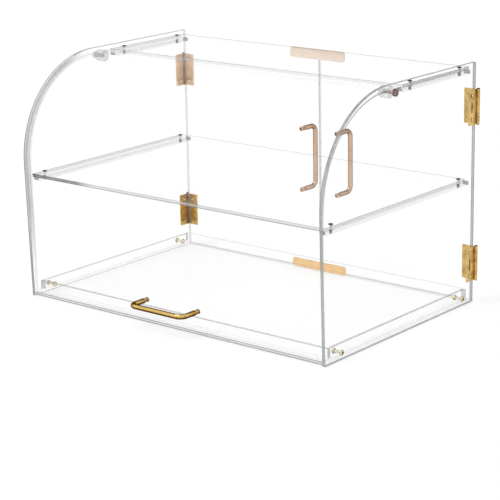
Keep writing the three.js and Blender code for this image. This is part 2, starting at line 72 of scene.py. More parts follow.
SIDES = (("left", -1), ("right", 1))
LEVELS = ("lower", "upper")
ENDS = ("front", "back")
X_AXIS, Y_AXIS, Z_AXIS = (Vector(axis) for axis in ((1, 0, 0), (0, 1, 0), (0, 0, 1)))
AXES = {"X": X_AXIS, "Y": Y_AXIS, "Z": Z_AXIS}
CENTRE = Vector((0, 0, 0))
IN_PLACE = Matrix.Identity(4)

# Sizes in metres that follow from the CAD model
FRONT_RADIUS = 0.149  # the side panels' rounded upper front corner
FRONT_BULGE = 0.004  # how far their front edge leans out from its foot
SHEET = 0.005  # what the handles' and hinges' screws go through
SEAT_GAP = 0.0003  # between a piece and what it seats on
BOSS_CORNER = 0.001
BOSS_BORE = 0.0028  # radius of the pivot bosses' threaded hole
HANDLE_GRIP = 0.0085  # how far a fixing screw reaches into a handle's foot
LEAF_CORNER = 0.0015
LEAF_CORNER_GAP = 0.0004  # between a leaf's edge and its knuckles
LEAF_SCREW_SETBACK = 0.014
LEAF_SCREW_SPACING = 0.035
LEAF_SCREW_SHORTFALL = 0.0005  # how far a leaf's screw ends short of the sheet's far face
LEAF_SHANK_RADIUS = 0.0015
KNUCKLE_WALL = 0.0011  # thickness of the strap that curls round the pin
KNUCKLE_CURL = math.radians(318)
KNUCKLES = 5  # of both leaves of a hinge together

# Rounding along edges, in metres
HANDLE_FOOT_CHAMFER = 0.0005
FINE_BEVEL = 0.00015
PLATE_BEVEL = 0.0003
MAGNET_BEVEL = 0.0004

# Where the zones of a tint begin and end, in metres on the object
GLOW_BACK = (-0.09, -0.05)
GLOW_FOOT = (0.05, 0.13)
DOOR_BEND = (0.15, 0.25)
RIM_FOOT = (0.05, 0.12)
ARC_FADE = 0.06
SHADE_FADE = 0.03

# What polished metal mirrors: where the dark room and the dark strip begin and end, from 1 straight towards
# the room's open side, or straight up, to -1 straight away from it
ROOM_AIM = (-0.6, -0.25)
ROOM_HEIGHT = (0.4, 0.52)
STRIP_START = (0.5, 0.58)
STRIP_END = (0.68, 0.76)

LINE_FADE = 0.15  # width of a border line's soft edge, as a share of half the sheet
DRILLED_FACET = 1.3  # longest side of a facet in a drilled hole, in sheet thicknesses
NOTCH_ROOM = 1.06  # radius of the front door's notch, in radii of the boss
HEX_SOCKET = 0.42  # radius of a handle or tray screw's socket, as a share of its head
PANEL_SOCKET = 0.4  # the same for the panel screws
THREAD_STEPS = 24  # round a shank

# Scales of noise: the larger, the finer
TARNISH_CLOUDS = 95.0
METAL_GRAIN = 1400.0
GLOW_STREAKS = 900.0
HAND_SMEARS = 38.0
ACRYLIC_IOR = 1.49


# Sizes and colours that a user would change


def colour(name, description, default):
    """A colour property."""
    return FloatVectorProperty(
        name=name, description=description, default=default, min=0, max=1, size=3, subtype="COLOR"
    )


def length(name, description, default):
    """A length property in metres."""
    return FloatProperty(
        name=name, description=description, default=default, min=0, unit="LENGTH", precision=4
    )


def share(name, description, default):
    """A property between none and all."""
    return FloatProperty(name=name, description=description, default=default, min=0, max=1, subtype="FACTOR")


def angle(name, description, degrees):
    """An angle property, given in degrees."""
    return FloatProperty(name=name, description=description, default=math.radians(degrees), subtype="ANGLE")


class PASTRYCASE_PG_acrylic(bpy.types.PropertyGroup):
    """Clear sheet: edge work and tints"""

    chamfer: length("Chamfer", "Width of the broken corner along each sheet edge", 0.0003)
    # Painted reflection: the edge glow is a grey strip on the left panel's face that shows its rim from
    # inside.
    edge_glow_depth: length("Edge glow depth", "Depth of the zone that shows the rim from inside", 0.0078)
    glow_cover: share("Edge glow cover", "How strongly the left panel's edge glow shows", 0.5)
    # Painted reflection: the grey inner part of the front door's right end.
    door_end_depth: length("Door end depth", "Depth where the door's right end turns grey", 0.0078)
    door_end_cover: share("Door end cover", "How strongly that inner part of the door's end shows", 0.62)
    # Painted reflection: the darker left part of the shelf's front rim.
    shade_start: length("Shelf shade", "Distance left of the middle where the shelf's front darkens", 0.15)
    shade_cover: share("Shelf shade cover", "How strongly the left part of the shelf's front darkens", 0.3)
    # Painted shade: the right rim turns darker round its arc, against the light from above.
    arc_start: length("Arc start", "Height where the right rim turns darker", 0.235)
    line_start: share("Line start", "Where a rim's border lines begin, from its middle to its border", 0.42)
    line_cover: share("Line cover", "How much a border line hides what is behind it", 0.92)
    face_haze: share("Face haze", "Share of a clear face that catches light", 0.004)
    face_colour: colour("Face", "Clear faces", (0.96, 0.97, 0.97))
    # Painted reflection: clear acrylic has no grey of its own, so the colours from here down to the boss
    # stand for what its edges and holes mirror, the same edge painted lighter on the left and darker on the
    # right.
    glow_colour: colour("Edge glow", "Zone along the left panel's rim", (0.50, 0.51, 0.515))
    left_rim_colour: colour("Left rim", "Sawn front rim of the left panel", (0.73, 0.74, 0.74))
    right_rim_colour: colour("Right rim", "Sawn front rim of the right panel", (0.55, 0.555, 0.55))
    right_arc_colour: colour("Right arc", "The same rim round the arc", (0.24, 0.245, 0.24))
    back_rim_colour: colour("Back rim", "Sawn back rim of the right panel", (0.47, 0.475, 0.48))
    top_rim_colour: colour("Top rim", "Upper rims of the side panels", (0.24, 0.24, 0.24))
    end_colour: colour("Panel ends", "Sawn right ends of the top panel, shelf and floor", (0.42, 0.425, 0.43))
    far_end_colour: colour("Far ends", "Sawn left ends of the top panel, shelf and floor", (0.66, 0.67, 0.68))
    tray_rim_colour: colour("Tray rims", "Upper and lower rims of the tray's walls", (0.30, 0.30, 0.30))
    strip_colour: colour("Strips", "Strips that carry the panels", (0.30, 0.31, 0.32))
    polished_colour: colour("Polished rim", "Polished rims and drilled holes", (0.50, 0.51, 0.52))
    frosted_colour: colour("Frosted rim", "Front rims of the top panel and shelf", (0.84, 0.85, 0.86))
    # Painted reflection: the dark lines along the rims.
    line_colour: colour("Border line", "Lines along the rims", (0.06, 0.062, 0.065))
    shade_colour: colour("Shelf shade colour", "Darker left part of the shelf's front", (0.26, 0.265, 0.27))
    meeting_colour: colour("Meeting rim", "Rims where the back doors meet", (0.44, 0.47, 0.53))
    boss_colour: colour("Boss", "Pivot bosses", (0.42, 0.40, 0.41))


class PASTRYCASE_PG_hardware(bpy.types.PropertyGroup):
    """Brass hardware: sizes and colours"""

    handle_radius: length("Handle radius", "Radius of the bow handles' rod", 0.0038)
    handle_bend: length("Handle bend", "Centre-line radius of the bow handles' bends", 0.010)
    leaf_width: length("Leaf width", "Width of a hinge leaf from its pin", 0.022)
    leaf_thickness: length("Leaf thickness", "Thickness of the hinge leaves", 0.0012)
    leaf_head_radius: length("Leaf screw head radius", "Radius of the leaf screws' heads", 0.0027)
    leaf_head_height: length("Leaf screw head height", "Height of the leaf screws' heads", 0.001)
    leaf_slot_length: length("Leaf slot length", "Length of the groove between a leaf's screws", 0.0155)
    leaf_slot_width: length("Leaf slot width", "Width of the groove between a leaf's screws", 0.0024)
    leaf_slot_depth: length("Leaf slot depth", "Depth of the groove between a leaf's screws", 0.0008)
    knuckle_radius: length("Knuckle radius", "Radius of the hinge knuckles", 0.002595)
    knuckle_gap: length("Knuckle gap", "Gap between two knuckles", 0.0003)
    pin_radius: length("Pin radius", "Radius of the hinge pins", 0.0012)
    pin_head_height: length("Pin head height", "Height of the hinge pins' heads", 0.0008)
    shank_radius: length("Shank radius", "Radius of the handle, panel and tray screws' shanks", 0.002)
    pivot_shank_radius: length("Pivot shank radius", "Radius of the pivot screws' shanks", 0.0025)
    thread_pitch: length("Thread pitch", "Distance between two thread crests", 0.0007)
    thread_depth: length("Thread depth", "Depth of the threads", 0.00022)
    knurl_depth: length("Knurl depth", "Height of the ridges round a pivot screw's head", 0.00035)
    gold: colour("Gold brass", "Front handle", (0.88, 0.60, 0.20))
    rose: colour("Rose brass", "Back handles", (0.66, 0.45, 0.31))
    # Painted light: the upper strike plate's paler, pinker copy of the lower one's brass, for the sheets it
    # is seen through.
    pale: colour("Pale brass", "Lower strike plate", (0.97, 0.67, 0.35))
    peach: colour("Peach brass", "Upper strike plate", (0.95, 0.79, 0.66))
    tray_gold: colour("Tray screw gold", "Heads and nuts of the tray screws", (0.86, 0.74, 0.42))
    antique: colour("Antique brass", "Hinges", (0.72, 0.49, 0.18))
    # Painted light: a paler copy of the antique brass for the upper left hinge, seen through the top sheet.
    veiled: colour("Veiled brass", "Upper left hinge", (0.88, 0.70, 0.52))
    dark: colour("Dark brass", "Heads of the panel screws and hinge pins", (0.055, 0.048, 0.038))
    knob: colour("Knob", "Knurled head of the right pivot screw", (0.24, 0.19, 0.19))
    fixing: colour("Fixing socket", "Sockets of the handles' fixing screws", (0.60, 0.45, 0.33))
    copper: colour("Copper flash", "Right pivot screw inside its side panel", (0.62, 0.42, 0.36))
    bright: colour("Bright plate", "Left pivot screw and the plated shanks", (0.93, 0.93, 0.92))
    nickel: colour("Nickel", "Door magnets", (0.52, 0.53, 0.53))


class PASTRYCASE_PG_stage(bpy.types.PropertyGroup):
    """Floor, light and camera"""

    floor_radius: length("Floor radius", "Radius of the round floor", 6.0)
    floor_drop: length("Floor drop", "How far the floor lies below the case", 0.0002)
    floor_shade: share("Floor shade", "Share of the floor's brightness that shadows may take away", 0.42)
    world_strength: share("World strength", "Light from all round on matt surfaces", 0.78)
    sun_strength: share("Sun strength", "Strength of the soft key light", 0.95)
    sun_angle: angle("Sun angle", "Spread of the soft key light", 34)
    sun_azimuth: angle("Sun azimuth", "Direction of the key light", -38)
    sun_elevation: angle("Sun elevation", "Height of the key light", 58)
    room_colour: colour("Room", "The darker room that polished metal mirrors", (0.10, 0.09, 0.08))
    room_azimuth: angle("Room azimuth", "Direction of the room's open side", 39.561)
    room_elevation: angle("Room elevation", "Height of the room's open side", 15.807)
    camera_azimuth: angle("Camera azimuth", "Turn of the view to the right", 39.561)
    camera_elevation: angle("Camera elevation", "Height of the view", 15.807)
    camera_roll: angle("Camera roll", "Tilt of the view", -1.128)
    camera_distance: length("Camera distance", "Distance of the camera in front of the case", 2.6805)
    camera_rise: length("Camera rise", "Shift of the camera upwards in the view", 0.07099)
    camera_side: length("Camera side", "Shift of the camera to the left in the view", 0.00032)
    camera_forward: length("Camera aim", "How far behind the origin the camera aims", 0.00042)
    focal_length: FloatProperty(
        name="Focal length", description="Focal length of the camera", default=129.94, min=1, unit="CAMERA"
    )


def clear_settings():
    """The settings of the clear sheets."""
    return bpy.context.scene.pastry_case_acrylic


def brass_settings():
    """The settings of the brass hardware."""
    return bpy.context.scene.pastry_case_hardware


# Materials


def node(tree, kind, inputs=None, output=0, **settings):
    """Adds a node with some inputs set or linked and gives one of its outputs."""
    made = tree.nodes.new(kind)
    for key, value in settings.items():
        setattr(made, key, value)
    for key, value in (inputs or {}).items():
        if isinstance(value, bpy.types.NodeSocket):
            tree.links.new(value, made.inputs[key])
        else:
            made.inputs[key].default_value = value
    return made.outputs[output]


def worked(tree, operation, first, second=0.0, clamp=False):
    """The result of a math node."""
    return node(tree, "ShaderNodeMath", {0: first, 1: second}, operation=operation, use_clamp=clamp)


def coordinate(tree, axis, kind="Object"):
    """One of a point's Object coordinates, or of its normal."""
    place = node(tree, "ShaderNodeTexCoord", output=kind)
    return node(tree, "ShaderNodeSeparateXYZ", {"Vector": place}, axis)


def noise(tree, scale, detail, stretch=None):
    """Noise on Object coordinates, drawn out along an axis where stretch is given."""
    place = node(tree, "ShaderNodeTexCoord", output="Object")
    if stretch:
        place = node(tree, "ShaderNodeMapping", {"Vector": place, "Scale": stretch})
    return node(tree, "ShaderNodeTexNoise", {"Vector": place, "Scale": scale, "Detail": detail}, "Fac")


def spread(tree, value, low, high, start=0.3, end=0.7):
    """Maps a value onto a range and holds it there."""
    inputs = {"Value": value, "From Min": start, "From Max": end, "To Min": low, "To Max": high}
    return node(tree, "ShaderNodeMapRange", inputs, "Result")


def blend(tree, factor, first, second):
    """A colour between two, each a socket or a plain colour."""
    first, second = (
        end if isinstance(end, bpy.types.NodeSocket) else (*end, 1) for end in (first, second)
    )
    return node(tree, "ShaderNodeMix", {0: factor, 6: first, 7: second}, 2, data_type="RGBA")


def facing(tree):
    """How far a surface turns away: for gloss and a painted grey outline on clear sheets, and for a painted
    dark reflection along a metal's outline.
    """
    return node(tree, "ShaderNodeLayerWeight", {"Blend": 0.5}, "Facing")


def darker(tint, amount):
    """A colour scaled down."""
    return tuple(channel * amount for channel in tint)


def border_lines(tree, band, lines):
    """Painted reflection: where a rim reads as a dark line, near the low and the high border of a band across
    the sheet.
    """
    axis, middle, half = band
    across = coordinate(tree, axis)
    if axis == "X":
        across = worked(tree, "ABSOLUTE", across)
    across = worked(tree, "DIVIDE", worked(tree, "SUBTRACT", across, middle), half)
    start = clear_settings().line_start
    low, high = lines
    over = spread(tree, across, 0, high, start, start + LINE_FADE)
    under = spread(tree, across, low, 0, -start - LINE_FADE, -start)
    return worked(tree, "MAXIMUM", over, under)


def rim_depth(tree):
    """How far a point of a side panel lies inside its front outline: a leaning straight and a round."""
    low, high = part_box("side_panel_left")
    centre_z = high.z - FRONT_RADIUS
    y, z = coordinate(tree, "Y"), coordinate(tree, "Z")
    ahead = worked(tree, "MAXIMUM", worked(tree, "SUBTRACT", low.y + FRONT_RADIUS, y))
    below = worked(tree, "MAXIMUM", worked(tree, "SUBTRACT", centre_z, z))
    lean = worked(tree, "MULTIPLY", below, FRONT_BULGE / centre_z)
    above = worked(tree, "MAXIMUM", worked(tree, "SUBTRACT", z, centre_z))
    reach = node(tree, "ShaderNodeCombineXYZ", {"X": worked(tree, "ADD", ahead, lean), "Y": above})
    reach = node(tree, "ShaderNodeVectorMath", {0: reach}, "Value", operation="LENGTH")
    return worked(tree, "SUBTRACT", FRONT_RADIUS, reach)


def glow_zone(tree):
    """Painted reflection: the strip of the left panel's face that shows its rim from inside, fading at the
    top and the foot.
    """
    depth = clear_settings().edge_glow_depth
    near = spread(tree, rim_depth(tree), 1, 0, depth, depth * 1.08)
    near = worked(tree, "MULTIPLY", near, spread(tree, coordinate(tree, "Y"), 1, 0, *GLOW_BACK))
    near = worked(tree, "MULTIPLY", near, spread(tree, coordinate(tree, "Z"), 0.1, 1, *GLOW_FOOT))
    streak = spread(tree, noise(tree, GLOW_STREAKS, 2.0, (1, 1, 0.04)), 0.8, 1.1)
    return worked(tree, "MULTIPLY", near, streak)


def door_end_zone(tree):
    """Painted reflection: the inner part of the front door's right end turns grey, strongest round the bend.
    """
    depth = clear_settings().door_end_depth
    inner = spread(tree, rim_depth(tree), 0, 1, depth, depth * 1.1)
    return worked(tree, "MULTIPLY", inner, spread(tree, coordinate(tree, "Z"), 0.45, 1, *DOOR_BEND))


def foot_zone(tree):
    """Painted shade: the lowest part of a side panel's front rim, which turns darker towards the foot."""
    return spread(tree, coordinate(tree, "Z"), 1, 0, *RIM_FOOT)


def arc_zone(tree):
    """Painted shade: the rounded upper part of a side panel's front rim, which turns darker."""
    start = clear_settings().arc_start
    return spread(tree, coordinate(tree, "Z"), 0, 1, start, start + ARC_FADE)


def shelf_shade_zone(tree):
    """Painted reflection: the left part of the shelf's front rim, which reads darker."""
    start = -clear_settings().shade_start
    return spread(tree, coordinate(tree, "X"), 1, 0, start - SHADE_FADE, start)


FACE = dict(tint="face", cover="face_haze", roughness=0.05, grain=0.5, grain_scale=420.0, grazing=0.18)
SAWN = dict(grain_scale=620.0, stretch=(0.02, 1, 1))
CROSS_SAWN = dict(stretch=(1, 0.2, 1))
TRAY_RIM = dict(tint="tray_rim", cover=0.4)
BOSS = dict(tint="boss", grain=0.3, grain_scale=240.0)

# Acrylic finishes: tint names a colour setting, cover is a share or names one, and lines gives the strengths
# of the two border lines. The grey tints of the rims are painted reflection, for what a clear edge mirrors
# and bends; the same edge is painted lighter on the left and darker on the right.
ACRYLICS = {
    "Clear acrylic face": FACE,
    "Clear face with edge glow": dict(FACE, zone=glow_zone, zone_tint="glow", zone_cover="glow_cover"),
    "Drilled acrylic": dict(tint="polished", cover=0.06, roughness=0.25),
    # Painted light and shade: the left and the right front rim are the same sawn edge, painted lighter on the
    # left, darker on the right and darkest round the right arc.
    "Left panel front rim": dict(
        SAWN, tint="left_rim", cover=0.86, lines=(0.15, 1), grain=0.12, zone=foot_zone, zone_tint="tray_rim"
    ),
    "Right panel front rim": dict(
        SAWN, tint="right_rim", cover=0.86, lines=(0.4, 0.2), grain=0.2, zone=arc_zone, zone_tint="right_arc"
    ),
    "Side panel top rim": dict(tint="top_rim", cover=0.88),
    "Left panel back rim": dict(tint="left_rim", cover=0.4, lines=(0, 0.2)),
    "Right panel back rim": dict(tint="back_rim", cover=0.7, lines=(0.45, 0.75)),
    "top_panel front rim": dict(tint="frosted", cover=0.28, lines=(0.05, 0.45)),
    "top_panel back rim": dict(tint="polished", cover=0.04, lines=(0, 0.4)),
    "top_panel right end": dict(CROSS_SAWN, tint="end", cover=0.62, lines=(0.15, 0.3)),
    "top_panel left end": dict(CROSS_SAWN, tint="far_end", cover=0.45, lines=(0.05, 0.25)),
    "shelf front rim": dict(
        tint="frosted", cover=0.55, lines=(0.7, 0.35), zone=shelf_shade_zone, zone_tint="shade",
        zone_cover="shade_cover",
    ),
    "shelf back rim": dict(tint="polished", cover=0.04, lines=(0, 0.35)),
    "shelf right end": dict(CROSS_SAWN, tint="end", cover=0.3, lines=(0.15, 0.3)),
    "shelf left end": dict(CROSS_SAWN, tint="far_end", cover=0.45, lines=(0.05, 0.25)),
    "Strip side": dict(tint="strip", cover=0.16, grain=0.2),
    "Strip end": dict(tint="strip", shade=0.7, cover=0.7, grain=0.2),
    "floor_plate front rim": dict(tint="polished", cover=0.42, lines=(0.85, 0.6)),
    "floor_plate back rim": dict(tint="polished", cover=0.04, lines=(0.05, 0.05)),
    "floor_plate right end": dict(tint="end", cover=0.08, lines=(0.12, 0.2)),
    "floor_plate left end": dict(tint="far_end", cover=0.05, lines=(0, 0.15)),
    "Tray front upper rim": dict(TRAY_RIM, lines=(0.6, 0)),
    "Tray back upper rim": dict(TRAY_RIM, cover=0.12, lines=(0, 0.5)),
    "Tray left upper rim": dict(TRAY_RIM, lines=(0, 0.7)),
    "Tray right upper rim": dict(TRAY_RIM, lines=(0, 0.7)),
    "Tray lower rim": dict(TRAY_RIM, cover=0.04),
    "Tray wall end": dict(tint="left_rim", cover=0.7, grain=0.1),
    "Front door left end": dict(tint="left_rim", cover=0.25, grain=0.2),
    "Front door right end": dict(
        SAWN, tint="polished", cover=0.06, grain=0.2, zone=door_end_zone, zone_tint="right_arc",
        zone_cover="door_end_cover",
    ),
    "Front door foot": dict(tint="polished", cover=0.12),
    "Pivot boss wall": dict(BOSS, cover=0.12, grazing=0.9),
    "Pivot boss end": dict(BOSS, cover=0.3),
    "Back door meeting rim": dict(tint="meeting", cover=0.27, lines=(0.4, 0)),
    "Back door polished rim": dict(tint="polished", cover=0.04),
    "Back door lower rim": dict(tint="polished", cover=0.5, lines=(0.5, 0.2)),
}

# Each metal finish: shade and patina are shares of its tint, for clean and tarnished metal. A shade below one
# makes a copy with painted shade, a shade above one a copy with a painted highlight.
METALS = {
    "Gold brass": dict(tint="gold", patina=0.85, roughness=0.07, bump=0.02, edge=0.6, under=0.95),
    "Rose brass": dict(tint="rose", patina=0.93, roughness=0.2, bump=0.02, edge=0.7),
    "Antique brass": dict(tint="antique", patina=0.55, roughness=0.3, bump=0.08),
    # Painted light: paler copy of the antique brass, for the top sheet it is seen through.
    "Veiled brass": dict(tint="veiled", patina=0.8, roughness=0.4, bump=0.05),
    # Painted highlight: a brighter copy of the gold brass for the crowns of the leaf screws.
    "Leaf screw brass": dict(tint="gold", shade=1.3, patina=1, roughness=0.22),
    "Dark brass": dict(tint="dark", patina=0.6, roughness=0.36),
    "Bright plate": dict(tint="bright", patina=0.92, roughness=0.45, bump=0.02),
    "Shadowed recess": dict(tint="antique", shade=0.16, patina=0.08, roughness=0.6),
    # Painted shade: a darker copy for the recess of the handles' fixing screws.
    "Fixing socket": dict(tint="fixing", shade=0.7, patina=0.5, roughness=0.4),
    "Tray screw gold": dict(tint="tray_gold", patina=0.85, roughness=0.25, edge=0.6),
    "Knurled knob": dict(tint="knob", patina=0.5, roughness=0.3),
    "Copper flash": dict(tint="copper", patina=0.8, roughness=0.3),
    # Painted light: the upper plate's paler copy, for the sheets it is seen through.
    "Peach satin brass": dict(tint="peach", patina=0.94, roughness=0.42, bump=0.02),
    "Pale satin brass": dict(tint="pale", patina=0.92, roughness=0.42, bump=0.02),
    # Painted shade: a darker copy of the pale brass for the strike plates' rims.
    "Plate rim brass": dict(tint="pale", shade=0.55, patina=0.4, roughness=0.42, bump=0.02),
    "Nickel plate": dict(tint="nickel", patina=0.8, roughness=0.28, bump=0.02),
}


def finish(name, band=None):
    """The material of a listed finish, made when it is first asked for."""
    if name in bpy.data.materials:
        return bpy.data.materials[name]
    material = bpy.data.materials.new(name)
    material.use_nodes = True
    tree = material.node_tree
    if name in METALS:
        metal(tree, tree.nodes["Principled BSDF"], **METALS[name])
    else:
        acrylic(tree, tree.nodes["Principled BSDF"], band, **ACRYLICS[name])
    return material


def acrylic(tree, shader, band, tint, cover, shade=1.0, lines=None, roughness=0.3, grain=0.14,
            grain_scale=520.0, stretch=None, grazing=0.05, zone=None, zone_tint=None, zone_cover=0.0):
    """Acrylic that lets light straight through, with border lines, fine wear and a little gloss.
    The grey of its rims is painted reflection, for what a clear edge mirrors and bends.

    zone gives a mask where the rim or face takes another tint and hides more."""
    settings = clear_settings()
    tint = darker(getattr(settings, f"{tint}_colour"), shade)
    cover, zone_cover = (
        getattr(settings, value) if isinstance(value, str) else value for value in (cover, zone_cover)
    )
    wear = noise(tree, grain_scale, 5.0, stretch)
    tone = blend(tree, spread(tree, wear, 0, 1), darker(tint, 1 - grain), tint)
    held = spread(tree, wear, cover * (1 - grain), min(1, cover * (1 + grain)))
    if lines:
        # Painted reflection: dark lines along the rim's borders.
        mask = border_lines(tree, band, lines)
        tone = blend(tree, mask, tone, settings.line_colour)
        held = worked(tree, "ADD", held, worked(tree, "MULTIPLY", mask, settings.line_cover - cover))
    if zone:
        inside = zone(tree)
        tone = blend(tree, inside, tone, getattr(settings, f"{zone_tint}_colour"))
        held = worked(tree, "ADD", held, worked(tree, "MULTIPLY", inside, zone_cover))
    smear = noise(tree, HAND_SMEARS, 4.0)
    tree.links.new(tone, shader.inputs["Base Color"])
    tree.links.new(spread(tree, smear, roughness * 0.7, roughness * 1.6), shader.inputs["Roughness"])
    shader.inputs["IOR"].default_value = ACRYLIC_IOR
    # Towards its outline a clear surface shows more of its lit self: gloss on the faces, a painted grey
    # outline on the bosses.
    rim = worked(tree, "MULTIPLY", worked(tree, "POWER", facing(tree), 5.0), grazing)
    factor = worked(tree, "ADD", rim, held, clamp=True)
    through = node(tree, "ShaderNodeBsdfTransparent", {"Color": (1, 1, 1, 1)})
    mixed = node(tree, "ShaderNodeMixShader", {0: factor, 1: through, 2: shader.outputs[0]})
    tree.links.new(mixed, tree.nodes["Material Output"].inputs["Surface"])


def metal(tree, shader, tint, patina, roughness, shade=1.0, bump=0.04, edge=0.0, under=0.0):
    """Brass or nickel with clouds of tarnish and fine grain.

    It turns browner towards its outline by edge, and on its underside by under: a painted dark reflection of
    the surroundings that polished metal mirrors there."""
    tint = getattr(brass_settings(), tint)
    patina = darker(tint, patina)
    tint = darker(tint, shade)
    # The dark brown of the painted reflection on the outline and the underside, also given to the
    # reflections' tint.
    painted_reflection_brown = darker((tint[0], tint[1] * 0.6, tint[2] * 0.3), 0.14)
    clouds = noise(tree, TARNISH_CLOUDS, 6.0)
    fine = noise(tree, METAL_GRAIN, 2.0, (1, 1, 0.15))
    tone = blend(tree, spread(tree, clouds, 0, 1, 0.42, 0.72), tint, patina)
    tone = blend(tree, spread(tree, fine, 0, 0.12), tone, darker(tint, 0.72))
    if under:
        shader.inputs["Specular Tint"].default_value = (*painted_reflection_brown, 1)
        upwards = coordinate(tree, "Z", "Normal")
        tone = blend(tree, spread(tree, upwards, under, 0, -0.15, 0.3), tone, painted_reflection_brown)
    if edge:
        tone = blend(tree, spread(tree, facing(tree), 0, edge, 0.2, 0.52), tone, painted_reflection_brown)
    shader.inputs["Metallic"].default_value = 1
    tree.links.new(tone, shader.inputs["Base Color"])
    tree.links.new(spread(tree, clouds, roughness * 0.75, roughness * 1.35), shader.inputs["Roughness"])
    relief = node(tree, "ShaderNodeBump", {"Strength": bump, "Distance": 0.0002, "Height": fine})
    tree.links.new(relief, shader.inputs["Normal"])


# Pieces


def body_of(cad_name):
    """The name of the body that a CAD node rides on."""
    parent = frame["nodes"][cad_name].parent
    return next(name for name, empty in frame["bodies"].items() if empty == parent)


def middle_and_half(cad_name):
    """The middle of a CAD node's box and half its size."""
    low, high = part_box(cad_name)
    return (low + high) / 2, (high - low) / 2


def near_and_far(cad_name):
    """How far a CAD node's inner and outer sides lie to the left or right of the case's middle."""
    low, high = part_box(cad_name)
    return sorted((abs(low.x), abs(high.x)))


def merged_copy(cad_name):
    """A CAD node's shape as a bmesh, with its triangles joined into whole faces."""
    bm = bmesh.new()
    bm.from_mesh(frame["nodes"][cad_name].data)
    bmesh.ops.remove_doubles(bm, verts=bm.verts, dist=1e-6)
    bmesh.ops.dissolve_limit(bm, angle_limit=math.radians(1), verts=bm.verts, edges=bm.edges)
    return bm


def add_piece(bm, cad_name, kind, finishes, band=None):
    """Makes an object of a bmesh that stands for a CAD node and rides on its body."""
    name = f"{cad_name}_{kind}"
    mesh = bpy.data.meshes.new(name)
    bm.to_mesh(mesh)
    bm.free()
    if not mesh.polygons:
        raise RuntimeError(f"{name} has no faces")
    for listed in finishes:
        mesh.materials.append(finish(listed, band))
    mesh.shade_smooth()
    mesh.set_sharp_from_angle(angle=math.radians(34))
    piece = bpy.data.objects.new(name, mesh)
    bpy.context.scene.collection.objects.link(piece)
    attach(piece, body_of(cad_name))
    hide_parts(cad_name)


def of_type(items, kind):
    """The vertices, edges or faces among what an operator made."""
    return [item for item in items if isinstance(item, kind)]


def bevel(bm, edges, offset, segments):
    """Rounds edges off and gives the new faces."""
    return bmesh.ops.bevel(
        bm, geom=edges, offset=offset, offset_type="OFFSET", segments=segments, profile=0.5,
        affect="EDGES", material=-1, clamp_overlap=True,
    )["faces"]


def break_corners(bm, offset, segments=1, least=math.radians(40)):
    """Bevels every corner sharper than least."""
    sharp = [edge for edge in bm.edges if len(edge.link_faces) == 2 and edge.calc_face_angle(0) > least]
    bevel(bm, sharp, offset, segments)


def nearest(*directions):
    """A function that gives the number of the direction nearest to the one it is given."""
    def choose(outwards):
        return max(range(len(directions)), key=lambda number: round(outwards.dot(directions[number]), 3))
    return choose


def clear_sheet(cad_name, across, rims, choose, face_finish="Clear acrylic face"):
    """A clear sheet with chamfered edges: its broad faces, its drilled holes and its rims differ.

    across is the axis through the sheet, and choose gives the number of the rim that faces a direction."""
    bm = merged_copy(cad_name)
    break_corners(bm, clear_settings().chamfer)
    broad = AXES[across]
    middle, half = middle_and_half(cad_name)
    drilled = DRILLED_FACET * 2 * min(half)
    used = list(dict.fromkeys(rims))
    for face in bm.faces:
        through = face.normal.dot(broad)
        if abs(through) > 0.9:
            continue
        if max(edge.calc_length() for edge in face.edges) < drilled:
            face.material_index = 1
        else:
            outwards = (face.normal - broad * through).normalized()
            face.material_index = 2 + used.index(rims[choose(outwards)])
    number = "XYZ".index(across)
    band = across, abs(middle.x) if across == "X" else middle[number], half[number]
    add_piece(bm, cad_name, "acrylic", (face_finish, "Drilled acrylic", *used), band)


def level_sheet(cad_name):
    """The top panel, the shelf or the floor plate, each with its own finish on every side."""
    rims = [f"{cad_name} {place}" for place in ("right end", "left end", "front rim", "back rim")]
    clear_sheet(cad_name, "Z", rims, nearest(X_AXIS, -X_AXIS, -Y_AXIS, Y_AXIS))


def spin(bm, geom, angle, steps, centre=CENTRE, axis=Z_AXIS, full=False):
    """Spins a shape about an axis and gives its last step."""
    return bmesh.ops.spin(
        bm, geom=geom, cent=centre, axis=axis, dvec=CENTRE, angle=angle, steps=steps, use_merge=full,
        use_duplicate=False,
    )["geom_last"]


def lathe(profile, steps):
    """A profile of (radius, height) turned about local Z."""
    part = bmesh.new()
    points = [part.verts.new((radius, 0, height)) for radius, height in profile]
    edges = [part.edges.new(pair) for pair in zip(points, points[1:])]
    spin(part, points + edges, 2 * math.pi, steps, full=True)
    return part


def turned(bm, profile, steps, place=IN_PLACE, number=0):
    """Adds a turned part in its place.

    An end that stops short of the axis is closed with a flat disc, unless the profile is a loop."""
    if profile[0] != profile[-1]:
        first, last = profile[0], profile[-1]
        profile = [(0, first[1])] * bool(first[0]) + profile + [(0, last[1])] * bool(last[0])
    part = lathe(profile, steps)
    bmesh.ops.remove_doubles(part, verts=part.verts, dist=1e-7)
    join(bm, part, place, number)


def join(bm, part, place=IN_PLACE, number=0):
    """Adds a part to a bmesh in its place, with its faces outwards and the material number given."""
    bmesh.ops.recalc_face_normals(part, faces=part.faces)
    bmesh.ops.transform(part, matrix=place, verts=part.verts)
    for face in part.faces:
        face.material_index += number
    scratch = bpy.data.meshes.new("scratch")
    part.to_mesh(scratch)
    part.free()
    bm.from_mesh(scratch)
    bpy.data.meshes.remove(scratch)


def stand(point, direction):
    """The place of a turned part whose local Z points along a direction."""
    return Matrix.Translation(point) @ Z_AXIS.rotation_difference(direction).to_matrix().to_4x4()


def threaded(radius, low, high):
    """The profile of a threaded shank from low to high."""
    settings = brass_settings()
    root = radius - settings.thread_depth
    turns = max(1, round((high - low) / settings.thread_pitch))
    step = (high - low) / turns
    points = []
    for turn in range(turns):
        points += [(root, low + turn * step), (radius, low + (turn + 0.5) * step)]
    return [*points, (root, high)]


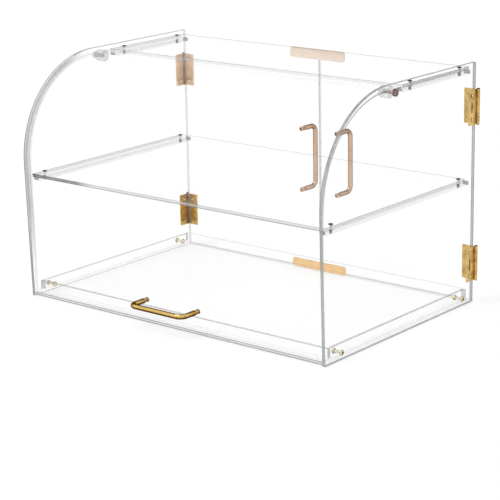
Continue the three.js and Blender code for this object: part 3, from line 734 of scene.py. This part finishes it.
def socket_head(bm, place, radius, height, socket):
    """A low domed head with a six-sided socket, seated at local height nought.

    Its profile is in shares of the radius and the height. The socket takes the second finish."""
    profile = [(radius * 0.5, 0), (radius * 0.96, 0), (radius, height * 0.12), (radius, height * 0.42)]
    for step in range(1, 5):
        tilt = step * math.pi / 10
        profile.append((radius * (0.45 + 0.55 * math.cos(tilt)), height * (0.42 + 0.58 * math.sin(tilt))))
    part = lathe([*profile, (socket * 1.25, height)], 36)
    mouth = [edge for edge in part.edges if edge.is_boundary and edge.verts[0].co.z > height / 2]
    top = bmesh.ops.create_circle(
        part, cap_ends=False, segments=6, radius=socket, matrix=Matrix.Translation((0, 0, height))
    )["verts"]
    rim = [edge for edge in part.edges if all(vert in top for vert in edge.verts)]
    bmesh.ops.bridge_loops(part, edges=mouth + rim)
    wall = bmesh.ops.extrude_edge_only(part, edges=rim)["geom"]
    floor_verts = of_type(wall, BMVert)
    bmesh.ops.translate(part, vec=(0, 0, -height * 0.6), verts=floor_verts)
    floor_edges = [edge for edge in of_type(wall, BMEdge) if all(vert in floor_verts for vert in edge.verts)]
    bmesh.ops.contextual_create(part, geom=floor_edges)
    for face in part.faces:
        middle = face.calc_center_median()
        if middle.xy.length < socket and middle.z < height * 0.95:
            face.material_index = 1
    bmesh.ops.contextual_create(part, geom=[edge for edge in part.edges if edge.is_boundary])
    join(bm, part, place)


class PASTRYCASE_OT_side_panels(bpy.types.Operator):
    """Finish the two side panels with sawn rims"""

    bl_idname = "pastry_case.side_panels"
    bl_label = "Side panels"

    def execute(self, context):
        for side, face_finish in (("Left", "Clear face with edge glow"), ("Right", "Clear acrylic face")):
            rims = (f"{side} panel front rim", "Side panel top rim", f"{side} panel back rim")
            clear_sheet(f"side_panel_{side.lower()}", "X", rims, self.rim, face_finish)
        return {"FINISHED"}

    def rim(self, outwards):
        """Front rim, top rim or back rim, which goes on along the foot."""
        if outwards.z > 0.96:
            return 1
        return 2 if outwards.y > 0.5 or outwards.z < -0.5 else 0


class PASTRYCASE_OT_panels(bpy.types.Operator):
    """Finish the top panel, the shelf and the four strips that carry them"""

    bl_idname = "pastry_case.panels"
    bl_label = "Top panel and shelf"

    def execute(self, context):
        for panel in ("top_panel", "shelf"):
            level_sheet(panel)
            for side, _ in SIDES:
                self.strip(f"{panel}_strip_{side}")
        return {"FINISHED"}

    def strip(self, cad_name):
        """A bonded strip: clear above and below, hazy at its side, dark at its two ends; the grey side and
        the dark ends are painted reflection.
        """
        bm = merged_copy(cad_name)
        break_corners(bm, clear_settings().chamfer)
        for face in bm.faces:
            if abs(face.normal.y) > 0.7:
                face.material_index = 2
            elif abs(face.normal.x) > 0.7:
                face.material_index = 1
        add_piece(bm, cad_name, "acrylic", ("Clear acrylic face", "Strip side", "Strip end"))


class PASTRYCASE_OT_tray(bpy.types.Operator):
    """Finish the floor plate and the four low tray walls"""

    bl_idname = "pastry_case.tray"
    bl_label = "Tray"

    def execute(self, context):
        level_sheet("floor_plate")
        lower, end = "Tray lower rim", "Tray wall end"
        for wall, across, along in (
            ("front", "Y", X_AXIS), ("back", "Y", X_AXIS), ("left", "X", Y_AXIS), ("right", "X", Y_AXIS),
        ):
            rims = [f"Tray {wall} upper rim", lower, end, end]
            directions = [Z_AXIS, -Z_AXIS, along, -along]
            if wall == "left":
                rims.insert(0, lower)
                directions.insert(0, Y_AXIS)
            clear_sheet(f"tray_wall_{wall}", across, rims, nearest(*directions))
        return {"FINISHED"}


class PASTRYCASE_OT_front_door(bpy.types.Operator):
    """Finish the bent front door and its two pivot bosses"""

    bl_idname = "pastry_case.front_door"
    bl_label = "Front door"

    def execute(self, context):
        chamfer = clear_settings().chamfer
        bm = merged_copy("front_door")
        break_corners(bm, chamfer)
        pivot, boss_half = middle_and_half("pivot_boss_left")
        notch = boss_half.z * NOTCH_ROOM
        low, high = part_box("front_door")
        short = high.z - low.z - FRONT_RADIUS * 2
        for face in bm.faces:
            middle = face.calc_center_median()
            if (middle - pivot).yz.length < notch and abs(face.normal.z) < 0.99:
                face.material_index = 1
            elif abs(face.normal.x) > 0.6:
                face.material_index = 2 if middle.x < 0 else 3
            elif face.normal.z < -0.6 and middle.z < low.z + 2 * chamfer:
                face.material_index = 4
            elif max(edge.calc_length() for edge in face.edges) < short:
                face.material_index = 1
        finishes = ["Clear acrylic face", "Drilled acrylic"]
        finishes += [f"Front door {place}" for place in ("left end", "right end", "foot")]
        add_piece(bm, "front_door", "acrylic", finishes)
        for side, direction in SIDES:
            self.boss(f"pivot_boss_{side}", direction)
        return {"FINISHED"}

    def boss(self, cad_name, direction):
        """A turned boss with rounded ends and a smooth bore for its threaded hole."""
        centre, size = middle_and_half(cad_name)
        half, radius = size.x, size.z
        profile = [(BOSS_BORE, -half), (radius - BOSS_CORNER, -half)]
        for step in range(1, 5):
            tilt = step * math.pi / 8
            profile.append((
                radius - BOSS_CORNER * (1 - math.sin(tilt)), -half + BOSS_CORNER * (1 - math.cos(tilt))
            ))
        profile += [(across, -along) for across, along in reversed(profile[1:])]
        profile += [(BOSS_BORE, half), (BOSS_BORE, -half)]
        bm = bmesh.new()
        turned(bm, profile, 64, stand(centre, X_AXIS * direction))
        for face in bm.faces:
            middle = face.calc_center_median() - centre
            if abs(face.normal.x) > 0.3 or middle.yz.length < BOSS_BORE * 1.2:
                face.material_index = 1
        add_piece(bm, cad_name, "acrylic", ("Pivot boss wall", "Pivot boss end"))


class PASTRYCASE_OT_back_doors(bpy.types.Operator):
    """Finish the two flat back doors and their magnets"""

    bl_idname = "pastry_case.back_doors"
    bl_label = "Back doors"

    def execute(self, context):
        polished = "Back door polished rim"
        rims = (polished, "Back door lower rim", "Back door meeting rim", polished)
        for side, direction in SIDES:
            outer = X_AXIS * direction
            clear_sheet(f"back_door_{side}", "Y", rims, nearest(Z_AXIS, -Z_AXIS, -outer, outer))
            for level in LEVELS:
                cad_name = f"door_magnet_{level}_{side}"
                bm = merged_copy(cad_name)
                break_corners(bm, MAGNET_BEVEL, 2)
                add_piece(bm, cad_name, "block", ["Nickel plate"])
        return {"FINISHED"}


class PASTRYCASE_OT_strike_plates(bpy.types.Operator):
    """Finish the two brass strike plates"""

    bl_idname = "pastry_case.strike_plates"
    bl_label = "Strike plates"

    def execute(self, context):
        # The upper plate's peach is a paler copy of the lower plate's brass: painted light, for the sheets it
        # is seen through.
        for level, satin in (("top", "Peach satin brass"), ("bottom", "Pale satin brass")):
            cad_name = f"strike_plate_{level}"
            bm = merged_copy(cad_name)
            break_corners(bm, PLATE_BEVEL, 2)
            for face in bm.faces:
                # The rims take the darker plate rim brass: painted shade.
                if abs(face.normal.y) < 0.9:
                    face.material_index = 1
            add_piece(bm, cad_name, "brass", [satin, "Plate rim brass"])
        return {"FINISHED"}


class PASTRYCASE_OT_handles(bpy.types.Operator):
    """Bend the three bow handles and turn their fixing screws"""

    bl_idname = "pastry_case.handles"
    bl_label = "Bow handles"

    def execute(self, context):
        screws = [f"front_handle_screw_{side}" for side, _ in SIDES]
        self.handle("front_handle", screws, -Y_AXIS, "Gold brass", "gold_brass")
        for side, _ in SIDES:
            screws = [f"back_handle_screw_{level}_{side}" for level in LEVELS]
            self.handle(f"back_handle_{side}", screws, Y_AXIS, "Rose brass", "rose_brass")
        return {"FINISHED"}

    def handle(self, cad_name, screws, out, brass, slot):
        """Sweeps a ring up one leg, round the bends, along the bar and down the other leg."""
        hardware = brass_settings()
        middle, half = middle_and_half(cad_name)
        feet = [middle_and_half(screw)[0] for screw in screws]
        for foot in feet:
            foot.y = middle.y - out.y * half.y
        along = (feet[1] - feet[0]).normalized()
        span = (feet[1] - feet[0]).length
        bend = hardware.handle_bend
        straight = 2 * half.y - hardware.handle_radius - bend
        place = Matrix.Translation(feet[0]) @ Matrix((along, out, along.cross(out))).transposed().to_4x4()
        bm = bmesh.new()
        ring = bmesh.ops.create_circle(
            bm, cap_ends=True, segments=40, radius=hardware.handle_radius,
            matrix=Matrix.Rotation(-math.pi / 2, 4, "X"),
        )["verts"]
        edges = [edge for edge in bm.edges if all(vert in ring for vert in edge.verts)]
        edges = self.push(bm, edges, (0, straight, 0))
        edges = self.turn(bm, edges, (bend, straight, 0))
        edges = self.push(bm, edges, (span - 2 * bend, 0, 0))
        edges = self.turn(bm, edges, (span - bend, straight, 0))
        edges = self.push(bm, edges, (0, -straight, 0))
        bmesh.ops.contextual_create(bm, geom=edges)
        bmesh.ops.remove_doubles(bm, verts=bm.verts, dist=1e-7)
        break_corners(bm, HANDLE_FOOT_CHAMFER, 2)
        bmesh.ops.recalc_face_normals(bm, faces=bm.faces)
        bmesh.ops.transform(bm, matrix=place, verts=bm.verts)
        add_piece(bm, cad_name, "bar", [brass])
        for screw, foot in zip(screws, feet):
            self.fixing(screw, foot, out, brass)

    def push(self, bm, edges, offset):
        """Extrudes a ring of edges straight."""
        made = bmesh.ops.extrude_edge_only(bm, edges=edges)["geom"]
        bmesh.ops.translate(bm, vec=offset, verts=of_type(made, BMVert))
        return [edge for edge in of_type(made, BMEdge) if len(edge.link_faces) == 1]

    def turn(self, bm, edges, centre):
        """Spins a ring of edges through a quarter turn."""
        return of_type(spin(bm, edges, math.pi / 2, 14, centre, -Z_AXIS), BMEdge)

    def fixing(self, screw, foot, out, brass):
        """A pan-head screw from inside the door into a handle's foot."""
        through = SHEET + SEAT_GAP * 2
        _, half = middle_and_half(screw)
        seat = foot - out * through
        bm = bmesh.new()
        socket_head(bm, stand(seat, -out), half.z, 2 * half.y - through - HANDLE_GRIP, half.z * HEX_SOCKET)
        shank = threaded(brass_settings().shank_radius, 0, through + HANDLE_GRIP)
        turned(bm, shank, THREAD_STEPS, stand(seat, out))
        # The socket takes a darker copy of the brass: painted shade in the recess.
        add_piece(bm, screw, "turned", [brass, "Fixing socket"])


class PASTRYCASE_OT_panel_screws(bpy.types.Operator):
    """Turn the eight screws that hold the top panel and the shelf to their strips"""

    bl_idname = "pastry_case.panel_screws"
    bl_label = "Panel screws"

    def execute(self, context):
        for panel in ("top_panel", "shelf"):
            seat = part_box(panel)[1].z + SEAT_GAP
            for end in ENDS:
                for side, _ in SIDES:
                    self.screw(f"{panel}_screw_{end}_{side}", seat)
        return {"FINISHED"}

    def screw(self, cad_name, seat):
        """A low domed socket head over a bright threaded shank with a tapered tip."""
        hardware = brass_settings()
        low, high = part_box(cad_name)
        middle, half = middle_and_half(cad_name)
        top = Vector((middle.x, middle.y, seat))
        bm = bmesh.new()
        socket_head(bm, stand(top, Z_AXIS), half.x, high.z - seat, half.x * PANEL_SOCKET)
        depth = seat - low.z
        thread_end = depth - hardware.shank_radius * 0.5
        turned(bm, threaded(hardware.shank_radius, 0, thread_end), THREAD_STEPS, stand(top, -Z_AXIS), 2)
        root = hardware.shank_radius - hardware.thread_depth
        tip = [(root, thread_end), (root * 0.7, depth), (0, depth)]
        turned(bm, tip, THREAD_STEPS, stand(top, -Z_AXIS), 2)
        add_piece(bm, cad_name, "turned", ["Dark brass", "Shadowed recess", "Bright plate"])


class PASTRYCASE_OT_tray_screws(bpy.types.Operator):
    """Turn the four gold screws at the tray's corners, each with its nut"""

    bl_idname = "pastry_case.tray_screws"
    bl_label = "Tray screws"

    def execute(self, context):
        for end in ENDS:
            for side, direction in SIDES:
                self.screw(f"tray_screw_{end}_{side}", side, direction)
        return {"FINISHED"}

    def screw(self, cad_name, side, direction):
        """A domed socket head outside the side panel and a six-sided nut inside the tray's wall."""
        middle, half = middle_and_half(cad_name)
        inner, outer = near_and_far(cad_name)
        seat = near_and_far(f"side_panel_{side}")[1] + SEAT_GAP
        nut_seat = near_and_far(f"tray_wall_{side}")[0] - SEAT_GAP
        out = X_AXIS * direction
        origin = Vector((seat * direction, middle.y, middle.z))
        bm = bmesh.new()
        socket_head(bm, stand(origin, out), half.z, outer - seat, half.z * HEX_SOCKET)
        shank = threaded(brass_settings().shank_radius, 0, seat - inner)
        turned(bm, shank, THREAD_STEPS, stand(origin, -out), 2)
        self.nut(bm, stand(Vector((nut_seat * direction, middle.y, middle.z)), -out), half.z)
        finishes = ["Tray screw gold", "Shadowed recess", "Bright plate"]
        add_piece(bm, cad_name, "turned", finishes)

    def nut(self, bm, place, radius):
        """A six-sided nut whose corners are rounded off."""
        part = bmesh.new()
        thickness = radius * 0.8
        bmesh.ops.create_cone(
            part, cap_ends=True, segments=6, radius1=radius, radius2=radius, depth=thickness,
            matrix=Matrix.Translation((0, 0, thickness / 2)),
        )
        break_corners(part, radius * 0.07, 2)
        join(bm, part, place)


class PASTRYCASE_OT_pivot_screws(bpy.types.Operator):
    """Turn the two knurled screws on which the front door swings"""

    bl_idname = "pastry_case.pivot_screws"
    bl_label = "Pivot screws"

    def execute(self, context):
        bearing = brass_settings().pivot_shank_radius
        for side, direction, head, plain in (
            ("left", -1, "Bright plate", "Bright plate"), ("right", 1, "Knurled knob", "Copper flash"),
        ):
            cad_name = f"pivot_screw_{side}"
            middle, half = middle_and_half(cad_name)
            inner, outer = near_and_far(cad_name)
            seat = near_and_far(f"side_panel_{side}")[1] + SEAT_GAP
            to_boss = seat - near_and_far(f"pivot_boss_{side}")[1]
            origin = Vector((seat * direction, middle.y, middle.z))
            out = X_AXIS * direction
            bm = bmesh.new()
            self.knob(bm, stand(origin, out), half.z, outer - seat)
            turned(bm, [(bearing, 0), (bearing, to_boss)], 32, stand(origin, -out), 2)
            turned(bm, threaded(bearing, to_boss, seat - inner), 32, stand(origin, -out), 3)
            add_piece(bm, cad_name, "turned", [head, "Shadowed recess", plain, "Bright plate"])
        return {"FINISHED"}

    def knob(self, bm, place, radius, height):
        """A round head whose side stands in ridges, with a shallow dish in its face."""
        knurl = brass_settings().knurl_depth
        part = bmesh.new()
        core = radius - knurl
        bmesh.ops.create_cone(
            part, cap_ends=True, segments=48, radius1=core, radius2=core, depth=height,
            matrix=Matrix.Translation((0, 0, height / 2)),
        )
        sides = [face for face in part.faces if abs(face.normal.z) < 0.5]
        sides.sort(key=lambda face: math.atan2(face.normal.y, face.normal.x))
        for face in bmesh.ops.extrude_discrete_faces(part, faces=sides[::2])["faces"]:
            bmesh.ops.translate(part, vec=face.normal * (knurl * 0.97), verts=list(face.verts))
        break_corners(part, FINE_BEVEL, 1, math.radians(60))
        lid = max(part.faces, key=lambda face: face.calc_center_median().z + face.calc_area())
        bmesh.ops.inset_region(part, faces=[lid], thickness=core * 0.22, depth=0)
        bmesh.ops.inset_region(part, faces=[lid], thickness=core * 0.06, depth=-height * 0.12)
        join(bm, part, place)


class PASTRYCASE_OT_hinges(bpy.types.Operator):
    """Build the four butt hinges: leaves with curled knuckles and screws, and their pins"""

    bl_idname = "pastry_case.hinges"
    bl_label = "Hinges"

    def execute(self, context):
        turns = {
            ("case", -1): Matrix.Rotation(math.pi / 2, 4, "Z"),
            ("door", -1): Matrix.Rotation(math.pi, 4, "Y"),
            ("case", 1): Matrix.Rotation(math.pi, 4, "X") @ Matrix.Rotation(-math.pi / 2, 4, "Z"),
            ("door", 1): IN_PLACE,
        }
        for level in LEVELS:
            for side, direction in SIDES:
                # The upper left hinge takes a paler copy of the antique brass: painted light, for the top
                # sheet it is seen through.
                brass = "Veiled brass" if (level, side) == ("upper", "left") else "Antique brass"
                finishes = [brass, "Shadowed recess", "Leaf screw brass"]
                pin = f"hinge_{level}_{side}_pin"
                axis = Matrix.Translation(middle_and_half(pin)[0])
                for first, part in enumerate(("case", "door")):
                    cad_name = f"hinge_{level}_{side}_{part}_leaf"
                    bm = bmesh.new()
                    self.leaf(bm, middle_and_half(cad_name)[1].z * 2, first)
                    bmesh.ops.transform(bm, matrix=axis @ turns[part, direction], verts=bm.verts)
                    add_piece(bm, cad_name, "brass", finishes)
                self.pin(pin)
        return {"FINISHED"}

    def leaf(self, bm, height, first):
        """A leaf about its pin, along local Z: its plate lies towards -X and its screws go towards -Y."""
        hardware = brass_settings()
        back = -hardware.knuckle_radius
        near = back - LEAF_CORNER_GAP
        self.plate(bm, hardware, near, back, height)
        pitch = (height + hardware.knuckle_gap) / KNUCKLES
        for index in range(first, KNUCKLES, 2):
            self.knuckle(bm, -back, near, index * pitch - height / 2, pitch - hardware.knuckle_gap)
        for end in (-1, 1):
            seat = (-LEAF_SCREW_SETBACK, back + hardware.leaf_thickness, end * LEAF_SCREW_SPACING / 2)
            self.screw(bm, hardware, Vector(seat))

    def plate(self, bm, hardware, near, back, height):
        """The flat plate with rounded corners and a groove between its screws."""
        part = bmesh.new()
        far = -hardware.leaf_width
        thickness = hardware.leaf_thickness
        middle = Vector(((far + near) / 2, back + thickness / 2, 0))
        size = Matrix.Diagonal((near - far, thickness, height, 1))
        bmesh.ops.create_cube(part, size=1, matrix=Matrix.Translation(middle) @ size)
        spans = [(edge, abs(edge.verts[0].co.y - edge.verts[1].co.y)) for edge in part.edges]
        bevel(part, [edge for edge, depth in spans if depth > thickness / 2], LEAF_CORNER, 5)
        break_corners(part, FINE_BEVEL, 1, math.radians(60))
        target = Vector((-LEAF_SCREW_SETBACK, back + thickness, 0))
        for direction, half in (
            (X_AXIS, hardware.leaf_slot_width / 2), (Z_AXIS, hardware.leaf_slot_length / 2),
        ):
            for way in (-1, 1):
                everything = [*part.verts, *part.edges, *part.faces]
                cut = target + direction * half * way
                bmesh.ops.bisect_plane(part, geom=everything, plane_co=cut, plane_no=direction)
        groove = min(
            (face for face in part.faces if face.normal.y > 0.9),
            key=lambda face: (face.calc_center_median() - target).length,
        )
        made = bmesh.ops.extrude_face_region(part, geom=[groove])["geom"]
        walls = {face for floor in of_type(made, BMFace) for edge in floor.edges for face in edge.link_faces}
        bmesh.ops.translate(part, vec=(0, -hardware.leaf_slot_depth, 0), verts=of_type(made, BMVert))
        if groove.is_valid:
            bmesh.ops.delete(part, geom=[groove], context="FACES_ONLY")
        for face in walls:
            if face.is_valid:
                face.material_index = 1
        join(bm, part)

    def knuckle(self, bm, outer, near, low, height):
        """A strap that leaves the plate and curls round the pin."""
        part = bmesh.new()
        start = near - LEAF_CORNER
        centre = Vector((start, -outer + KNUCKLE_WALL / 2, low + height / 2))
        size = Matrix.Diagonal((height, KNUCKLE_WALL, 1, 1))
        turn = Matrix.Rotation(math.pi / 2, 4, "Y")
        bmesh.ops.create_grid(
            part, x_segments=1, y_segments=1, size=0.5, matrix=Matrix.Translation(centre) @ turn @ size
        )
        strap = bmesh.ops.extrude_face_region(part, geom=list(part.faces), use_keep_orig=True)["geom"]
        bmesh.ops.translate(part, vec=(-start, 0, 0), verts=of_type(strap, BMVert))
        end = of_type(strap, BMFace)
        edges = {edge for face in end for edge in face.edges}
        whole = [*end, *edges, *{vert for edge in edges for vert in edge.verts}]
        spin(part, whole, KNUCKLE_CURL, 30)
        bmesh.ops.remove_doubles(part, verts=part.verts, dist=1e-7)
        join(bm, part)

    def screw(self, bm, hardware, seat):
        """A leaf's screw: a crown with a painted highlight in a ring with painted shade, and a threaded
        shank.

        The ring's and the crown's profiles are in shares of the head's radius and height."""
        radius = hardware.leaf_head_radius
        height = hardware.leaf_head_height
        place = stand(seat, Y_AXIS)
        ring = [(radius, 0), (radius, height * 0.35), (radius * 0.8, height * 0.35),
                (radius * 0.74, height * 0.1)]
        crown = [(radius * 0.74, height * 0.1), (radius * 0.72, height * 0.7), (radius * 0.5, height * 0.95),
                 (0, height)]
        turned(bm, ring, 32, place, 1)
        turned(bm, crown, 32, place, 2)
        depth = hardware.leaf_thickness + SEAT_GAP + SHEET - LEAF_SCREW_SHORTFALL
        turned(bm, threaded(LEAF_SHANK_RADIUS, 0, depth), 20, stand(seat, -Y_AXIS))

    def pin(self, cad_name):
        """A pin with a domed head at each end."""
        hardware = brass_settings()
        middle, size = middle_and_half(cad_name)
        head, half = size.x, size.z
        thick = hardware.pin_head_height
        profile = [(0, -half), (head * 0.7, -half), (head, thick * 0.5 - half), (head, thick - half),
                   (hardware.pin_radius, thick - half)]
        profile += [(across, -along) for across, along in reversed(profile)]
        bm = bmesh.new()
        turned(bm, profile, 32, Matrix.Translation(middle))
        for face in bm.faces:
            if abs(face.calc_center_median().z - middle.z) > half - thick * 1.05:
                face.material_index = 1
        add_piece(bm, cad_name, "turned", ["Antique brass", "Dark brass"])


class PASTRYCASE_OT_stage(bpy.types.Operator):
    """Lay the floor, set the soft light and place the camera"""

    bl_idname = "pastry_case.stage"
    bl_label = "Stage"

    def execute(self, context):
        settings = context.scene.pastry_case_stage
        scene = context.scene
        scene.view_settings.view_transform = "Standard"
        scene.cycles.max_bounces = 16
        scene.cycles.transparent_max_bounces = 96
        self.floor(scene, settings)
        self.world(scene, settings)
        self.sun(scene, settings)
        self.camera(scene, settings)
        return {"FINISHED"}

    def seen(self, tree):
        """One for rays from the camera, from gloss and through glass, else none."""
        path = tree.nodes.new("ShaderNodeLightPath").outputs
        both = worked(tree, "MAXIMUM", path["Is Camera Ray"], path["Is Glossy Ray"])
        return worked(tree, "MAXIMUM", both, path["Is Transmission Ray"])

    def floor(self, scene, settings):
        """A pale round floor that keeps the case's shadow."""
        bm = bmesh.new()
        bmesh.ops.create_circle(bm, cap_ends=True, segments=96, radius=settings.floor_radius)
        bmesh.ops.translate(bm, vec=(0, 0, -settings.floor_drop), verts=bm.verts)
        mesh = bpy.data.meshes.new("studio_floor")
        bm.to_mesh(mesh)
        bm.free()
        floor = bpy.data.objects.new("studio_floor", mesh)
        scene.collection.objects.link(floor)
        material = bpy.data.materials.new("Studio floor")
        material.use_nodes = True
        tree = material.node_tree
        tree.nodes.remove(tree.nodes["Principled BSDF"])
        shade = settings.floor_shade
        matt = node(tree, "ShaderNodeBsdfDiffuse", {"Color": (shade, shade, shade, 1)})
        strength = worked(tree, "MULTIPLY", self.seen(tree), 1.02 - shade)
        glow = node(tree, "ShaderNodeEmission", {"Color": (1, 1, 1, 1), "Strength": strength})
        both = node(tree, "ShaderNodeAddShader", {0: matt, 1: glow})
        tree.links.new(both, tree.nodes["Material Output"].inputs["Surface"])
        mesh.materials.append(material)

    def world(self, scene, settings):
        """White all round, with a darker room at the back and a dark strip for polished metal to mirror."""
        world = bpy.data.worlds.new("Studio world")
        world.use_nodes = True
        scene.world = world
        tree = world.node_tree
        plain = tree.nodes["Background"]
        plain.inputs["Color"].default_value = (1, 1, 1, 1)
        plain.inputs["Strength"].default_value = settings.world_strength
        ray = node(tree, "ShaderNodeTexCoord", output="Generated")
        open_side = self.direction(settings.room_azimuth, settings.room_elevation)
        aim = node(tree, "ShaderNodeVectorMath", {0: ray, 1: open_side}, "Value", operation="DOT_PRODUCT")
        height = node(tree, "ShaderNodeSeparateXYZ", {"Vector": ray}, "Z")
        back = spread(tree, aim, 1, 0, *ROOM_AIM)
        back = worked(tree, "MULTIPLY", back, spread(tree, height, 0, 1, *ROOM_HEIGHT))
        strip = spread(tree, aim, 0, 0.9, *STRIP_START)
        strip = worked(tree, "MULTIPLY", strip, spread(tree, aim, 1, 0, *STRIP_END))
        room = worked(tree, "MAXIMUM", back, strip)
        room = worked(tree, "MULTIPLY", room, node(tree, "ShaderNodeLightPath", output="Is Glossy Ray"))
        mirrored = blend(tree, room, (1, 1, 1), settings.room_colour)
        white = node(tree, "ShaderNodeBackground", {"Color": mirrored, "Strength": 1.0})
        mixed = node(tree, "ShaderNodeMixShader", {0: self.seen(tree), 1: plain.outputs[0], 2: white})
        tree.links.new(mixed, tree.nodes["World Output"].inputs["Surface"])

    def direction(self, azimuth, elevation):
        """A direction by its turn from the front to the right and its height."""
        flat = math.cos(elevation)
        return Vector((math.sin(azimuth) * flat, -math.cos(azimuth) * flat, math.sin(elevation)))

    def sun(self, scene, settings):
        """A broad soft key light from above the left front."""
        lamp = bpy.data.lights.new("Soft key", "SUN")
        lamp.energy = settings.sun_strength
        lamp.angle = settings.sun_angle
        light = bpy.data.objects.new("Soft key", lamp)
        back = self.direction(settings.sun_azimuth, settings.sun_elevation)
        light.rotation_euler = back.to_track_quat("Z", "Y").to_euler()
        scene.collection.objects.link(light)

    def camera(self, scene, settings):
        """The camera at the photograph's viewing angle."""
        azimuth, roll = settings.camera_azimuth, settings.camera_roll
        back = self.direction(azimuth, settings.camera_elevation)
        level = Vector((math.cos(azimuth), math.sin(azimuth), 0))
        upright = back.cross(level)
        right = level * math.cos(roll) + upright * math.sin(roll)
        up = upright * math.cos(roll) - level * math.sin(roll)
        data = bpy.data.cameras.new("Camera")
        data.lens = settings.focal_length
        data.sensor_width = 36
        data.clip_start = 0.05
        data.clip_end = 50
        camera = bpy.data.objects.new("Camera", data)
        aim = Y_AXIS * settings.camera_forward - right * settings.camera_side + up * settings.camera_rise
        turn = Matrix((right, up, back)).transposed()
        camera.matrix_world = Matrix.Translation(aim + back * settings.camera_distance) @ turn.to_4x4()
        scene.collection.objects.link(camera)
        scene.camera = camera


PROPERTY_GROUPS = (PASTRYCASE_PG_acrylic, PASTRYCASE_PG_hardware, PASTRYCASE_PG_stage)
OPERATORS = (
    PASTRYCASE_OT_stage,
    PASTRYCASE_OT_side_panels,
    PASTRYCASE_OT_panels,
    PASTRYCASE_OT_tray,
    PASTRYCASE_OT_front_door,
    PASTRYCASE_OT_back_doors,
    PASTRYCASE_OT_strike_plates,
    PASTRYCASE_OT_handles,
    PASTRYCASE_OT_panel_screws,
    PASTRYCASE_OT_tray_screws,
    PASTRYCASE_OT_pivot_screws,
    PASTRYCASE_OT_hinges,
)


class PASTRYCASE_PT_sidebar(bpy.types.Panel):
    """Lists the case's settings and its building steps"""

    bl_idname = "PASTRYCASE_PT_sidebar"
    bl_label = "Display Case"
    bl_space_type = "VIEW_3D"
    bl_region_type = "UI"
    bl_category = "Display Case"

    def draw(self, context):
        scene = context.scene
        for group in (scene.pastry_case_acrylic, scene.pastry_case_hardware, scene.pastry_case_stage):
            box = self.layout.box()
            for name in group.__annotations__:
                box.prop(group, name)
        column = self.layout.column()
        for operator in OPERATORS:
            column.operator(operator.bl_idname)


CLASSES = (*PROPERTY_GROUPS, *OPERATORS, PASTRYCASE_PT_sidebar)


def register():
    for cls in CLASSES:
        bpy.utils.register_class(cls)
    bpy.types.Scene.pastry_case_acrylic = PointerProperty(type=PASTRYCASE_PG_acrylic)
    bpy.types.Scene.pastry_case_hardware = PointerProperty(type=PASTRYCASE_PG_hardware)
    bpy.types.Scene.pastry_case_stage = PointerProperty(type=PASTRYCASE_PG_stage)


def unregister():
    del bpy.types.Scene.pastry_case_stage
    del bpy.types.Scene.pastry_case_hardware
    del bpy.types.Scene.pastry_case_acrylic
    for cls in reversed(CLASSES):
        bpy.utils.unregister_class(cls)


def main():
    register()
    bpy.ops.pastry_case.stage()
    bpy.ops.pastry_case.side_panels()
    bpy.ops.pastry_case.panels()
    bpy.ops.pastry_case.tray()
    bpy.ops.pastry_case.front_door()
    bpy.ops.pastry_case.back_doors()
    bpy.ops.pastry_case.strike_plates()
    bpy.ops.pastry_case.handles()
    bpy.ops.pastry_case.panel_screws()
    bpy.ops.pastry_case.tray_screws()
    bpy.ops.pastry_case.pivot_screws()
    bpy.ops.pastry_case.hinges()


if __name__ == "__main__":
    main()
